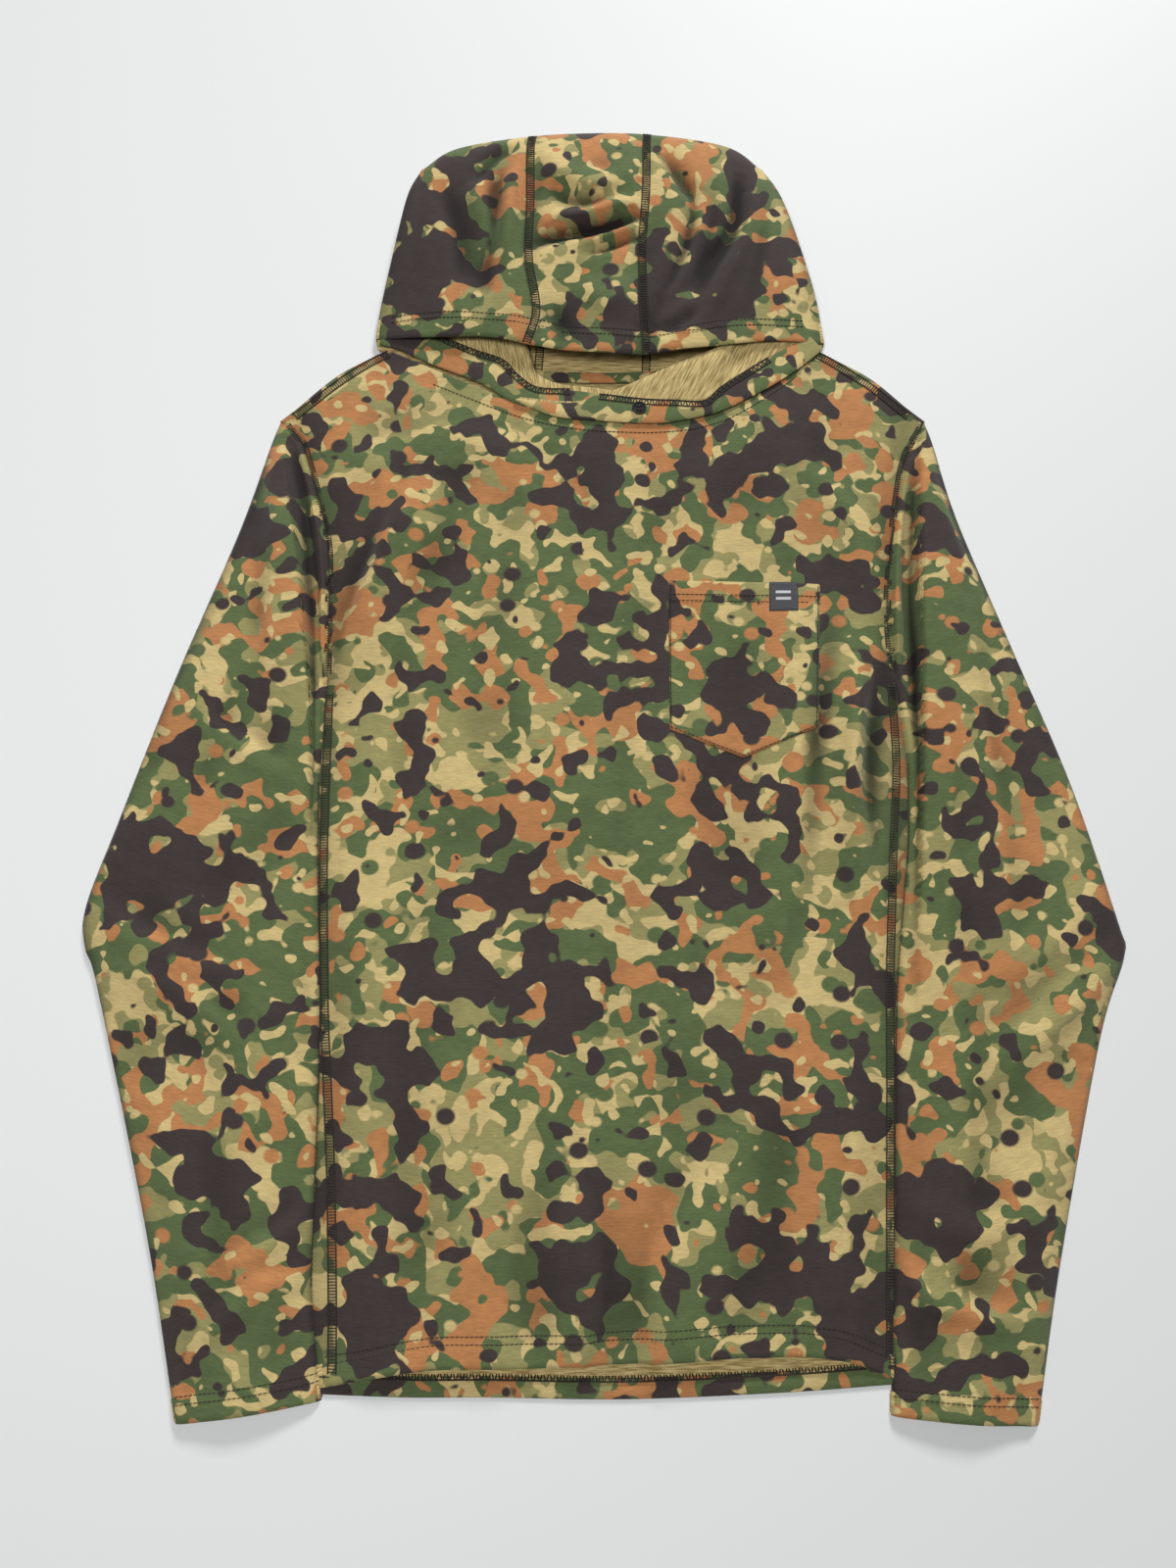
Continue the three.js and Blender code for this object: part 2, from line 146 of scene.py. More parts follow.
printSettings = {
    "tan": "#ceb87e",
    "khaki": "#97915e",
    "green": "#5b6a43",
    "rust": "#ba8050",
    "dark": "#403735",
    # patch mm, lobe mm, share of the patch, threshold, fleck cell mm, fleck radius mm, drift,
    # and how the dark, tan and rust places of the print push it
    "layers": {
        "khaki": (64, 21, 0.40, 0.460, 30, 5.5, 0.0, (0, -0.13, 0)),
        "green": (80, 23, 0.42, 0.463, 40, 6.5, 3.7, (0, -0.19, -0.12)),
        "rust": (60, 20, 0.42, 0.600, 52, 5.5, 8.3, (0, -0.10, 0.145)),
        "tan": (60, 12, 0.30, 0.675, 44, 4.0, 12.9, (0, 0.02, 0)),
        "dark": (90, 22, 0.40, 0.620, 46, 6.5, 17.1, (0.205, -0.10, -0.05)),
    },
    "edgeSoftness": 0.016,
    "bumpMm": 9.5,  # the small lobes along a blot's edge
    "bumpShare": 0.17,
}
# where the large blots of the print lie on the laid-out garment: x, y, radius in mm
printPlaces = {
    "dark": [
        (75, 215, 18), (112, 193, 25), (159, 210, 28), (-85, 217, 18), (-18, 213, 26), (6, 157, 20),
        (-177, 145, 33), (-10, 80, 18), (-39, 39, 25), (-76, -109, 28), (-116, -170, 31), (-78, -200, 28),
        (-31, -207, 36), (-147, -243, 28), (-17, -233, 16), (86, -115, 33), (110, -236, 39),
        (162, -272, 30),
        (55, -310, 23), (-17, -326, 25), (-10, -378, 28), (106, -356, 25), (158, -390, 39),
        (-157, -402, 34),
        (80, -52, 25), (93, 13, 28), (185, 99, 23), (199, 31, 21), (-320, -119, 39), (-269, -112, 28),
        (-264, -310, 33), (-235, -259, 23), (-272, -420, 28), (-206, -341, 18), (-295, -38, 28),
        (-258, 141, 18), (-227, 84, 15), (268, -129, 30), (268, -77, 16), (258, 126, 25), (316, 9, 18),
        (358, -160, 18), (215, -335, 28), (250, -438, 25), (296, -378, 18), (-134, 352, 40),
        (-150, 318, 30),
        (-110, 432, 20), (96, 405, 34), (84, 365, 34), (62, 322, 32), (140, 372, 20), (2, 316, 28),
        (118, 345, 20), (-122, 388, 26),
        (-112, 340, 24), (-146, 402, 24), (-140, 336, 34), (108, 428, 22), (90, 328, 30), (28, 344, 16),
        (-6, 300, 16), (-102, 446, 16), (-100, 276, 9), (52, 254, 8),
    ],
    "tan": [
        (-165, -34, 36), (-102, -42, 25), (-192, 31, 16), (145, -193, 25), (6, -193, 21), (-90, -278, 30),
        (-50, -297, 21), (282, -310, 36), (211, -160, 23), (163, -84, 23), (95, 122, 20), (-224, 24, 16),
        (-328, -193, 21), (-289, 31, 21), (177, -313, 21), (-44, 360, 21), (65, 290, 16), (17, -160, 16),
        (-155, -119, 18), (-184, -390, 15),
    ],
    "rust": [
        (-172, 69, 28), (-126, 84, 23), (38, 209, 26), (195, 245, 21), (214, 161, 20), (247, -13, 23),
        (-106, -6, 25), (106, -27, 21), (-45, -81, 18), (118, -187, 23), (25, -341, 25), (293, -200, 26),
        (-289, -70, 21), (-292, -187, 21), (-78, -399, 23), (321, -272, 20), (-18, 451, 26), (-71, 407, 21),
        (66, 424, 21), (-198, 241, 20), (158, 153, 18), (-204, -105, 20), (-230, -372, 20), (239, -408, 16),
        (-38, -140, 16), (61, 69, 18),
    ],
}
knit = {
    "streakLongMm": 7.5,
    "streakShortMm": 1.1,
    "loopMm": 1.1,  # coarser than such a jersey usually is, so that it shows
    # painted shade: how strongly the creases are darkened, and the near-black colour they are darkened
    # towards
    "creaseShade": 0.8,
    "creaseShadowColour": "#0f0c09",
    "bumpStrength": 0.35,
    "bumpDepth": 0.0004,
}
labelMark = {
    "barsY": ((0.0085, 0.0105), (0.0135, 0.0155)),
    "barsX": (0.005, 0.016),
    "twillMm": 2.0,
}


def newMaterial(name, roughness, sheen=0.0):
    material = bpy.data.materials.new(name)
    material.use_nodes = True
    shader = material.node_tree.nodes["Principled BSDF"]
    shader.inputs["Roughness"].default_value = roughness
    shader.inputs["Specular IOR Level"].default_value = 0.25
    if sheen:
        shader.inputs["Sheen Weight"].default_value = sheen
        shader.inputs["Sheen Roughness"].default_value = 0.5
    return material, material.node_tree, shader


def surfaced(tree, shader, colour, height, strength, distance):
    tree.links.new(colour, shader.inputs["Base Color"])
    bump = addNode(tree, "ShaderNodeBump", {"Strength": strength, "Distance": distance, "Height": height})
    tree.links.new(bump.outputs["Normal"], shader.inputs["Normal"])


def patternPlace(tree, place, xMm, yMm, drift=0.0):
    # one unit of the pattern measures xMm by yMm on the cloth
    return addNode(tree, "ShaderNodeMapping", {
        "Vector": place,
        "Location": (drift, drift * 0.7, 0),
        "Scale": (1000 / xMm, 1000 / yMm, 1),
    }).outputs["Vector"]


def mottle(tree, place, xMm, yMm, drift=0.0, detail=0.0, roughness=0.5):
    return addNode(tree, "ShaderNodeTexNoise", {
        "Vector": patternPlace(tree, place, xMm, yMm, drift),
        "Scale": 1.0,
        "Detail": detail,
        "Roughness": roughness,
    }, noise_dimensions="2D").outputs["Fac"]


def weighed(tree, first, share, second):
    # a share of the first and the rest of the second
    rest = addNode(tree, "ShaderNodeMath", {0: second, 1: 1 - share}, operation="MULTIPLY").outputs[0]
    return addNode(tree, "ShaderNodeMath", {0: first, 1: share, 2: rest},
                   operation="MULTIPLY_ADD").outputs[0]


def between(tree, value, low, high):
    above = addNode(tree, "ShaderNodeMath", {0: value, 1: low}, operation="GREATER_THAN").outputs[0]
    below = addNode(tree, "ShaderNodeMath", {0: value, 1: high}, operation="LESS_THAN").outputs[0]
    return addNode(tree, "ShaderNodeMath", {0: above, 1: below}, operation="MULTIPLY").outputs[0]


def layerMask(tree, place, places, patchMm, lobeMm, share, threshold, cellMm, radiusMm, drift, push):
    patch = mottle(tree, place, patchMm, patchMm * 0.8, drift)
    lobe = mottle(tree, place, lobeMm, lobeMm * 0.9, drift + 31.4)
    bump = mottle(tree, place, printSettings["bumpMm"], printSettings["bumpMm"], drift)
    bumpShare = printSettings["bumpShare"]
    uneven = addNode(tree, "ShaderNodeMath", {
        0: bump, 1: bumpShare, 2: -bumpShare / 2,
    }, operation="MULTIPLY_ADD").outputs[0]
    pushed = addNode(tree, "ShaderNodeVectorMath", {0: places, 1: push}, operation="DOT_PRODUCT")
    field = weighed(tree, patch, share, lobe)
    for more in (uneven, pushed.outputs["Value"]):
        field = addNode(tree, "ShaderNodeMath", {0: field, 1: more}, operation="ADD").outputs[0]
    # loose round flecks: a dot in some of the cells of a wider net
    cells = addNode(tree, "ShaderNodeTexVoronoi", {
        "Vector": patternPlace(tree, place, cellMm, cellMm * 0.85, drift + 5.2), "Scale": 1.0,
        "Randomness": 1.0,
    }, voronoi_dimensions="2D")
    chance = addNode(tree, "ShaderNodeSeparateColor", {"Color": cells.outputs["Color"]}).outputs["Red"]
    radius = addNode(tree, "ShaderNodeMapRange", {
        "Value": chance, "From Min": 0.5, "From Max": 0.8, "To Min": -0.1, "To Max": radiusMm / cellMm,
    }).outputs["Result"]
    inside = addNode(tree, "ShaderNodeMath", {
        0: radius, 1: cells.outputs["Distance"],
    }, operation="SUBTRACT").outputs[0]
    fleck = addNode(tree, "ShaderNodeMath", {
        0: inside, 1: 0.4, 2: threshold,
    }, operation="MULTIPLY_ADD").outputs[0]
    field = addNode(tree, "ShaderNodeMath", {0: field, 1: fleck}, operation="MAXIMUM").outputs[0]
    soft = printSettings["edgeSoftness"] / 2
    return addNode(tree, "ShaderNodeMapRange", {
        "Value": field, "From Min": threshold - soft, "From Max": threshold + soft,
    }).outputs["Result"]


def heather(tree, place, strength):
    # melange yarn: short pale and dark dashes along the knitted rows
    rows = mottle(tree, place, knit["streakLongMm"], knit["streakShortMm"], 0.0, 2.0, 0.6)
    cloud = mottle(tree, place, 30, 9, 4.0, 2.0)
    return addNode(tree, "ShaderNodeMath", {
        0: weighed(tree, cloud, 0.35, rows), 1: strength, 2: 1 - strength / 2,
    }, operation="MULTIPLY_ADD").outputs[0]


def knitHeight(tree, place):
    loopMm = knit["loopMm"] * 3.14
    loops = addNode(tree, "ShaderNodeTexWave", {
        "Vector": patternPlace(tree, place, loopMm, loopMm),
        "Scale": 1.0, "Distortion": 1.2, "Detail": 1.0, "Detail Scale": 2.0,
    }, wave_type="BANDS", bands_direction="X")
    return weighed(tree, mottle(tree, place, 1.6, 0.8, 2.0, 2.0), 0.7, loops.outputs["Fac"])


def paintedCreaseShade(tree, colour):
    # painted shade: where the crease depth is high, the printed colour is mixed towards near-black, standing
    # in for the shadow between folds
    hollow = addNode(tree, "ShaderNodeAttribute", attribute_name="hollow").outputs["Fac"]
    amount = addNode(tree, "ShaderNodeMath", {0: hollow, 1: knit["creaseShade"]}, operation="MULTIPLY")
    return addNode(tree, "ShaderNodeMix", {
        0: amount.outputs[0], 6: colour, 7: linear(knit["creaseShadowColour"]),
    }, data_type="RGBA").outputs[2]


def printedJersey():
    # brushed polyester jersey, printed: flat matt colour with soft blot edges and a faint melange
    material, tree, shader = newMaterial("printedJersey", 0.86, 0.12)
    place = addNode(tree, "ShaderNodeUVMap", uv_map="cloth").outputs["UV"]
    places = addNode(tree, "ShaderNodeAttribute", attribute_name="printPlaces").outputs["Vector"]
    colour = linear(printSettings["tan"])
    for name, values in printSettings["layers"].items():
        mask = layerMask(tree, place, places, *values)
        colour = addNode(tree, "ShaderNodeMix", {
            0: mask, 6: colour, 7: linear(printSettings[name]),
        }, data_type="RGBA").outputs[2]
    streak = addNode(tree, "ShaderNodeCombineColor", {
        channel: heather(tree, place, 0.85) for channel in ("Red", "Green", "Blue")
    })
    streaked = addNode(tree, "ShaderNodeMix", {
        0: 1.0, 6: colour, 7: streak.outputs[0],
    }, data_type="RGBA", blend_type="MULTIPLY")
    # painted shade: the streaked print is darkened in the creases before it reaches the shader
    surfaced(tree, shader, paintedCreaseShade(tree, streaked.outputs[2]), knitHeight(tree, place),
             knit["bumpStrength"], knit["bumpDepth"])
    return material


def plainInside():
    # the unprinted back of the jersey: straw melange with strong streaks
    material, tree, shader = newMaterial("strawJerseyInside", 0.9, 0.15)
    place = addNode(tree, "ShaderNodeUVMap", uv_map="cloth").outputs["UV"]
    amount = addNode(tree, "ShaderNodeMath", {
        0: mottle(tree, place, 14, 1.1, 0.0, 2.0, 0.6), 1: 3.2, 2: -1.1,
    }, operation="MULTIPLY_ADD").outputs[0]
    straw = addNode(tree, "ShaderNodeMix", {
        0: amount, 6: linear("#97804c"), 7: linear("#dac489"),
    }, data_type="RGBA")
    surfaced(tree, shader, straw.outputs[2], knitHeight(tree, place), knit["bumpStrength"],
             knit["bumpDepth"])
    return material


def sewingThread(name, colour):
    # textured polyester thread: dark, matt, with a slight shine along the twist
    material, tree, shader = newMaterial(name, 0.62)
    place = addNode(tree, "ShaderNodeTexCoord").outputs["Object"]
    twist = addNode(tree, "ShaderNodeTexNoise",
                    {"Vector": place, "Scale": 900.0, "Detail": 2.0}).outputs["Fac"]
    strands = addNode(tree, "ShaderNodeMix", {
        0: twist, 6: linear("#1d1917"), 7: linear(colour),
    }, data_type="RGBA")
    surfaced(tree, shader, strands.outputs[2], twist, 0.4, 0.0001)
    return material


def labelCloth():
    # damask label: fine dark twill with two pale woven bars
    material, tree, shader = newMaterial("wovenLabel", 0.7)
    place = addNode(tree, "ShaderNodeUVMap", uv_map="cloth").outputs["UV"]
    twill = addNode(tree, "ShaderNodeTexWave", {
        "Vector": patternPlace(tree, place, labelMark["twillMm"], labelMark["twillMm"]), "Scale": 1.0,
    }, wave_type="BANDS", bands_direction="DIAGONAL").outputs["Fac"]
    across = addNode(tree, "ShaderNodeSeparateXYZ", {0: place})
    lower, upper = (between(tree, across.outputs["Y"], *bar) for bar in labelMark["barsY"])
    bars = addNode(tree, "ShaderNodeMath", {0: lower, 1: upper}, operation="MAXIMUM").outputs[0]
    middle = between(tree, across.outputs["X"], *labelMark["barsX"])
    mark = addNode(tree, "ShaderNodeMath", {0: bars, 1: middle}, operation="MULTIPLY").outputs[0]
    ground = addNode(tree, "ShaderNodeMix", {
        0: twill, 6: linear("#3d3d40"), 7: linear("#55565a"),
    }, data_type="RGBA")
    colour = addNode(tree, "ShaderNodeMix", {
        0: mark, 6: ground.outputs[2], 7: linear("#c9cacb"),
    }, data_type="RGBA")
    surfaced(tree, shader, colour.outputs[2], twill, 0.3, 0.0002)
    return material


def buttonResin():
    # cast polyester resin: near black, polished, with a faint smoky cloud
    material, tree, shader = newMaterial("smokedResin", 0.22)
    place = addNode(tree, "ShaderNodeTexCoord").outputs["Object"]
    cloud = addNode(tree, "ShaderNodeTexNoise", {"Vector": place, "Scale": 260.0, "Detail": 3.0})
    smoke = addNode(tree, "ShaderNodeMix", {
        0: cloud.outputs["Fac"], 6: linear("#0d0d0f"), 7: linear("#3a3a3d"),
    }, data_type="RGBA")
    tree.links.new(smoke.outputs[2], shader.inputs["Base Color"])
    shader.inputs["Specular IOR Level"].default_value = 0.55
    shader.inputs["Coat Weight"].default_value = 0.5
    return material


jerseyOut = printedJersey()
jerseyIn = plainInside()
darkThread = sewingThread("darkThread", "#4a423b")
labelMaterial = labelCloth()
buttonMaterial = buttonResin()
print("materials ready")


def evenly(points, count):
    points = np.array(points, float)
    run = np.concatenate([[0], np.cumsum(np.linalg.norm(np.diff(points, axis=0), axis=1))])
    where = np.linspace(0, run[-1], count) if np.isscalar(count) else np.array(count) * run[-1]
    return np.stack([np.interp(where, run, points[:, k]) for k in range(points.shape[1])], axis=1)


def smoothLine(points, count):
    p = np.array(points, float)
    padded = np.vstack([2 * p[0] - p[1], p, 2 * p[-1] - p[-2]])
    dense = []
    for i in range(1, len(padded) - 2):
        a, b, c, d = padded[i - 1:i + 3]
        t = np.linspace(0, 1, 24, endpoint=False)[:, None]
        dense.append(0.5 * (2 * b + (c - a) * t + (2 * a - 5 * b + 4 * c - d) * t ** 2
                            + (3 * b - a - 3 * c + d) * t ** 3))
    return evenly(np.vstack(dense + [p[-1:]]), count)


def coons(foot, top, left, right, across=None, along=None):
    # rows run from foot to top, columns from left to right; across and along say how they are spaced
    u = (np.linspace(0, 1, len(foot)) if across is None else across)[None, :, None]
    v = (np.linspace(0, 1, len(left)) if along is None else along)[:, None, None]
    return ((1 - v) * foot[None] + v * top[None] + (1 - u) * left[:, None] + u * right[:, None]
            - (1 - u) * (1 - v) * foot[0] - u * (1 - v) * foot[-1] - (1 - u) * v * top[0] - u * v * top[-1])


def rise(value, low, high):
    t = np.clip((value - low) / (high - low), 0, 1)
    return t * t * (3 - 2 * t)


def waves(x, y, seed, lengthMm, height):
    # soft uneven ground: a few long waves in random directions
    random = np.random.default_rng(seed)
    total = np.zeros_like(x)
    for _ in range(7):
        angle, phase = random.uniform(0, 2 * math.pi, 2)
        length = lengthMm * random.uniform(0.7, 1.6)
        total += np.sin((x * math.cos(angle) + y * math.sin(angle)) * 2 * math.pi / length + phase)
    return height * total / 3


def toLine(x, y, line):
    # distance to a line, which side it is on and how far along
    ahead = np.gradient(line, axis=0)
    flat = np.stack([x.ravel(), y.ravel()], axis=1)
    away = flat[:, None] - line[None]
    near = np.argmin((away ** 2).sum(2), axis=1)
    offset = away[np.arange(len(flat)), near]
    side = np.sign(ahead[near, 0] * offset[:, 1] - ahead[near, 1] * offset[:, 0])
    distance = np.linalg.norm(offset, axis=1)
    return distance.reshape(x.shape), side.reshape(x.shape), (near / (len(line) - 1)).reshape(x.shape)


def leaned(x, y, folds, reachMm):
    # the ridges lean over towards their steep side, so that the cloth overlaps its own hollow
    across = np.zeros(x.shape + (2,))
    for path, _, leftMm, rightMm in folds:
        line = smoothLine(path, 60)
        distance, _, along = toLine(x, y, line)
        ahead = np.gradient(line, axis=0)
        steep = 1 if leftMm < rightMm else -1
        turned = np.stack([-ahead[:, 1], ahead[:, 0]], axis=1) * steep
        turned /= np.linalg.norm(turned, axis=1)[:, None]
        near = np.round(along * (len(line) - 1)).astype(int)
        amount = reachMm * np.sin(np.pi * along) ** 0.5 * np.exp(-(distance / 5.5) ** 2)
        across += turned[near] * amount[..., None]
    return across


def folded(x, y, folds):
    # each fold: its path, its height, and the widths over which its left and right sides fall off
    total = np.zeros_like(x)
    for path, height, leftMm, rightMm in folds:
        line = smoothLine(path, 60) if len(path) > 2 else evenly(path, 60)
        distance, side, along = toLine(x, y, line)
        width = np.where(side > 0, leftMm, rightMm)
        fade = np.sin(np.pi * np.clip(along, 0.02, 0.98)) ** 0.6
        total += height * fade * np.exp(-(distance / width) ** 2)
    return total


def meshOf(name, points, faces, materials, uv=None):
    mesh = bpy.data.meshes.new(name)
    mesh.from_pydata((np.asarray(points) * mm).tolist(), [], faces)
    if uv is not None:
        layer = mesh.uv_layers.new(name="cloth")
        corner = np.zeros(len(mesh.loops), dtype=np.int32)
        mesh.loops.foreach_get("vertex_index", corner)
        layer.data.foreach_set("uv", (np.asarray(uv)[corner] * mm).ravel())
    mesh.polygons.foreach_set("use_smooth", [True] * len(mesh.polygons))
    for one in materials:
        mesh.materials.append(one)
    mesh.update()
    piece = bpy.data.objects.new(name, mesh)
    scene.collection.objects.link(piece)
    return piece


def gridFaces(rows, columns, start=0, turned=False):
    faces = []
    for r in range(rows - 1):
        for c in range(columns - 1):
            a = start + r * columns + c
            face = (a, a + 1, a + columns + 1, a + columns)
            faces.append(face[::-1] if turned else face)
    return faces


def flatArea(uv):
    a, b, c, d = uv[:-1, :-1], uv[:-1, 1:], uv[1:, 1:], uv[1:, :-1]
    cross = lambda p, q: p[..., 0] * q[..., 1] - p[..., 1] * q[..., 0]
    return 0.5 * (np.abs(cross(b - a, c - a)) + np.abs(cross(c - a, d - a))).sum() * mm * mm


def markPlaces(piece):
    # the places of the dark, tan and rust blots, as an attribute that the printed jersey reads
    where = np.zeros(len(piece.data.vertices) * 3)
    piece.data.vertices.foreach_get("co", where)
    where = where.reshape(-1, 3)[:, :2] / mm
    values = np.zeros((len(where), 4))
    for channel, name in enumerate(("dark", "tan", "rust")):
        for x, y, radius in printPlaces[name]:
            near = np.exp(-(((where - (x, y)) ** 2).sum(1) / radius ** 2) ** 1.5)
            values[:, channel] = np.maximum(values[:, channel], near)
    layer = piece.data.attributes.new("printPlaces", "FLOAT_COLOR", "POINT")
    layer.data.foreach_set("color", values.ravel())


def flatSpans(layers):
    # width and length of the cut, along its own long direction; two layers lie side by side
    spans = []
    for _, uv in layers:
        flat = uv.reshape(-1, 2) - uv.reshape(-1, 2).mean(0)
        spans.append(np.sort(np.ptp(flat @ np.linalg.eigh(flat.T @ flat)[1], axis=0)) * mm)
    return sum(float(s[0]) for s in spans), max(float(s[1]) for s in spans)


def hollows(grid):
    # how deep each point lies in a crease: 0 on open cloth, up to 1 at the bottom; it sets how much painted
    # shade the crease gets
    height = grid[..., 2]
    around = height
    for axis in (0, 1):
        for reach in (1, 2, 3, 4, 5):
            ahead = np.concatenate([np.take(around, range(reach, around.shape[axis]), axis),
                                    np.repeat(np.take(around, [-1], axis), reach, axis)], axis)
            behind = np.concatenate([np.repeat(np.take(around, [0], axis), reach, axis),
                                     np.take(around, range(around.shape[axis] - reach), axis)], axis)
            around = (around + ahead + behind) / 3
    return np.clip((around - height) / 3.6, 0, 1)


def clothSheet(name, layers, body, nodes, thickness=0.8,
               skins=None, blend=None):
    # layers: grids of points with their flat places; a second layer is turned over and joined at its edges
    points, places, faces, start = [], [], [], 0
    for i, (grid, uv) in enumerate(layers):
        rows, columns = grid.shape[:2]
        faces += gridFaces(rows, columns, start, turned=i == 1)
        points.append(grid.reshape(-1, 3))
        places.append(uv.reshape(-1, 2))
        start += rows * columns
    piece = meshOf(name, np.vstack(points), faces, skins or [jerseyOut, jerseyIn], np.vstack(places))
    # crease depth of each point, read by the printed jersey to paint shade into its creases
    deep = piece.data.attributes.new("hollow", "FLOAT", "POINT")
    deep.data.foreach_set("value", np.concatenate([hollows(grid).ravel() for grid, _ in layers]))
    shape = bmesh.new()
    shape.from_mesh(piece.data)
    bmesh.ops.remove_doubles(shape, verts=shape.verts, dist=0.00002)
    shape.to_mesh(piece.data)
    shape.free()
    wall = piece.modifiers.new("thickness", "SOLIDIFY")
    wall.thickness = thickness * mm
    wall.offset = -1
    wall.material_offset = 1
    wall.material_offset_rim = 0
    applied(piece)
    markPlaces(piece)
    if blend:
        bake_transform(piece)
    else:
        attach(piece, body)
    if nodes:
        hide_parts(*nodes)
    area = sum(flatArea(uv) for _, uv in layers)
    size = flatSpans(layers)
    if area < 0.35 * size[0] * size[1]:
        size = (area / size[1], size[1])  # a bent strip: its mean width by its length
    flatSizes[name] = [round(size[0], 3), round(size[1], 3), round(area, 4)]
    return piece


def applied(piece):
    # the modifiers' result becomes the plain mesh
    bpy.context.view_layer.update()
    graph = bpy.context.evaluated_depsgraph_get()
    final = bpy.data.meshes.new_from_object(piece.evaluated_get(graph))
    piece.modifiers.clear()
    old = piece.data
    piece.data = final
    final.name = piece.name
    bpy.data.meshes.remove(old)


def turnedHem(grid, uv, turnMm, inwardMm, towards):
    # three rows before the first one: the edge rolls over and runs back inside
    edge, ahead = grid[0], grid[1] - grid[0]
    ahead = ahead / np.linalg.norm(ahead[:, :2], axis=1)[:, None] * (1, 1, 0)
    d = np.minimum(np.arange(len(edge)), np.arange(len(edge))[::-1])
    ease = rise(d, 0, 3)[:, None]
    down = np.array([0, 0, towards]) * inwardMm * ease
    slope = (grid[min(4, len(grid) - 1)] - edge) * (0, 0, 1)
    rows = [edge + ahead * turnMm + down + slope, edge + ahead * 1.2 + down,
            edge - ahead * 0.5 + down * 0.5]
    flatAhead = uv[1] - uv[0]
    flatAhead = flatAhead / np.linalg.norm(flatAhead, axis=1)[:, None]
    flat = [uv[0] - flatAhead * (turnMm + inwardMm), uv[0] - flatAhead * (inwardMm + 1), uv[0] - flatAhead]
    return np.concatenate([np.stack(rows), grid]), np.concatenate([np.stack(flat), uv])


def spun(plan, degrees, x, y, flip=1):
    # the flat place of a panel on the cloth: turned with its grain and moved to its own part of the print
    c, s = math.cos(math.radians(degrees)), math.sin(math.radians(degrees))
    return np.dstack([flip * (c * plan[..., 0] - s * plan[..., 1]) + x,
                      s * plan[..., 0] + c * plan[..., 1] + y])


flatSizes = {}


bodyPlan = {
    "frontHem": [(-186, -445), (-124, -433), (-86, -431), (-35, -431), (3, -429), (48, -427), (92, -425),
                 (150, -426), (190, -440)],
    "backHem": [(-187, -452), (-130, -454), (-74, -454), (16, -455), (118, -451), (191, -446)],
    "leftSide": [(-186, -448), (-194, -385), (-194.5, -318), (-195, -253), (-197, -187), (-201, -119),
                 (-203, -48),
                 (-201, 25)],
    "rightSide": [(190, -443), (196, -330), (200, -253), (205, -187), (212, -132), (217, -91), (219, -34),
                  (213, 31)],
    "leftSeam": [(-177, -438), (-179, -385), (-183, -318), (-188, -259), (-192, -213), (-195, -160),
                 (-198, -90),
                 (-199, 18)],
    "rightSeam": [(187, -436), (192, -330), (196, -253), (199, -187), (203, -132), (206, -91), (211, -34),
                  (211, 24)],
    "leftArmhole": [(-246, 234), (-231, 222), (-222, 200), (-212, 165), (-204, 130), (-202, 75),
                    (-201, 25)],
    "rightArmhole": [(247, 234), (234, 212), (226, 190), (217, 140), (211, 90), (211, 60), (213, 31)],
    # height along the body and how far the cloth reaches out from the middle there
    "leftReach": ([-448, -385, -253, -119, 25, 240], [186, 194, 195, 201, 201, 238]),
    "rightReach": ([-440, -330, -187, -91, -34, 31, 240], [190, 196, 205, 217, 219, 213, 238]),
    "shoulderMiddle": (206, 268),
    "neckSide": 165,
    "frontNeck": [(-137, 279), (-99, 262), (-55, 244), (-10, 235), (34, 232), (86, 240), (132, 267)],
    "rise": 4.9,
    "gridMm": 3.0,
    "backGridMm": 7,
    "hemMm": 14,
}
bodyFolds = [
    # path, height, width on its left, width on its right
    (((-137, 196), (-146, 165), (-160, 130), (-178, 82), (-196, 24)), 6.0, 26, 7),
    (((-185, 215), (-160, 170), (-165, 120)), 2.4, 14, 18),
    (((208, 72), (178, -20), (162, -125)), 6.0, 7, 18),
    (((192, 56), (180, -50), (194, -165)), 5.0, 7, 10),
    (((160, 100), (140, -10), (130, -130)), 3.0, 9, 26),
    (((211, 24), (203, -63), (194, -150)), 4.0, 5, 7),
    (((150, 200), (185, 150), (205, 90)), 3.0, 12, 14),
    (((-60, -290), (-78, -370), (-70, -440)), 3.0, 16, 26),
    (((-12, -330), (-9, -390), (-14, -441)), 4.0, 6, 18),
    (((40, -350), (36, -400), (42, -441)), 2.6, 16, 8),
    (((95, -280), (70, -360), (60, -440)), 2.6, 16, 26),
    (((150, -250), (140, -350), (150, -440)), 3.0, 20, 14),
    (((-150, -120), (-168, -260), (-160, -400)), 2.8, 20, 12),
    (((-120, 240), (-60, 190), (-20, 150)), 1.8, 18, 22),
    (((150, 262), (110, 210), (60, 180)), 1.8, 20, 22),
    (((-190, 190), (-120, 215), (-60, 200)), 1.8, 14, 18),
    (((-130, -10), (-40, -60), (60, -40)), 1.6, 30, 30),
    (((20, -170), (90, -230), (150, -220)), 1.6, 26, 30),
    (((0, 130), (-30, 20), (-20, -110)), 1.6, 32, 26),
    (((-100, 120), (-120, 20), (-100, -80)), 1.6, 20, 26),
    (((60, 80), (40, -60), (70, -160)), 1.6, 26, 22),
]


def armhole(side, count):
    return smoothLine(bodyPlan["leftArmhole" if side < 0 else "rightArmhole"], count)


def bodyEdge(side, count):
    seam = smoothLine(bodyPlan["leftSide" if side < 0 else "rightSide"], 200)
    return evenly(np.vstack([seam, armhole(side, 90)[::-1][1:]]), count)


def backNeckY(x):
    return 268 + 23 * (x / bodyPlan["neckSide"]) ** 2


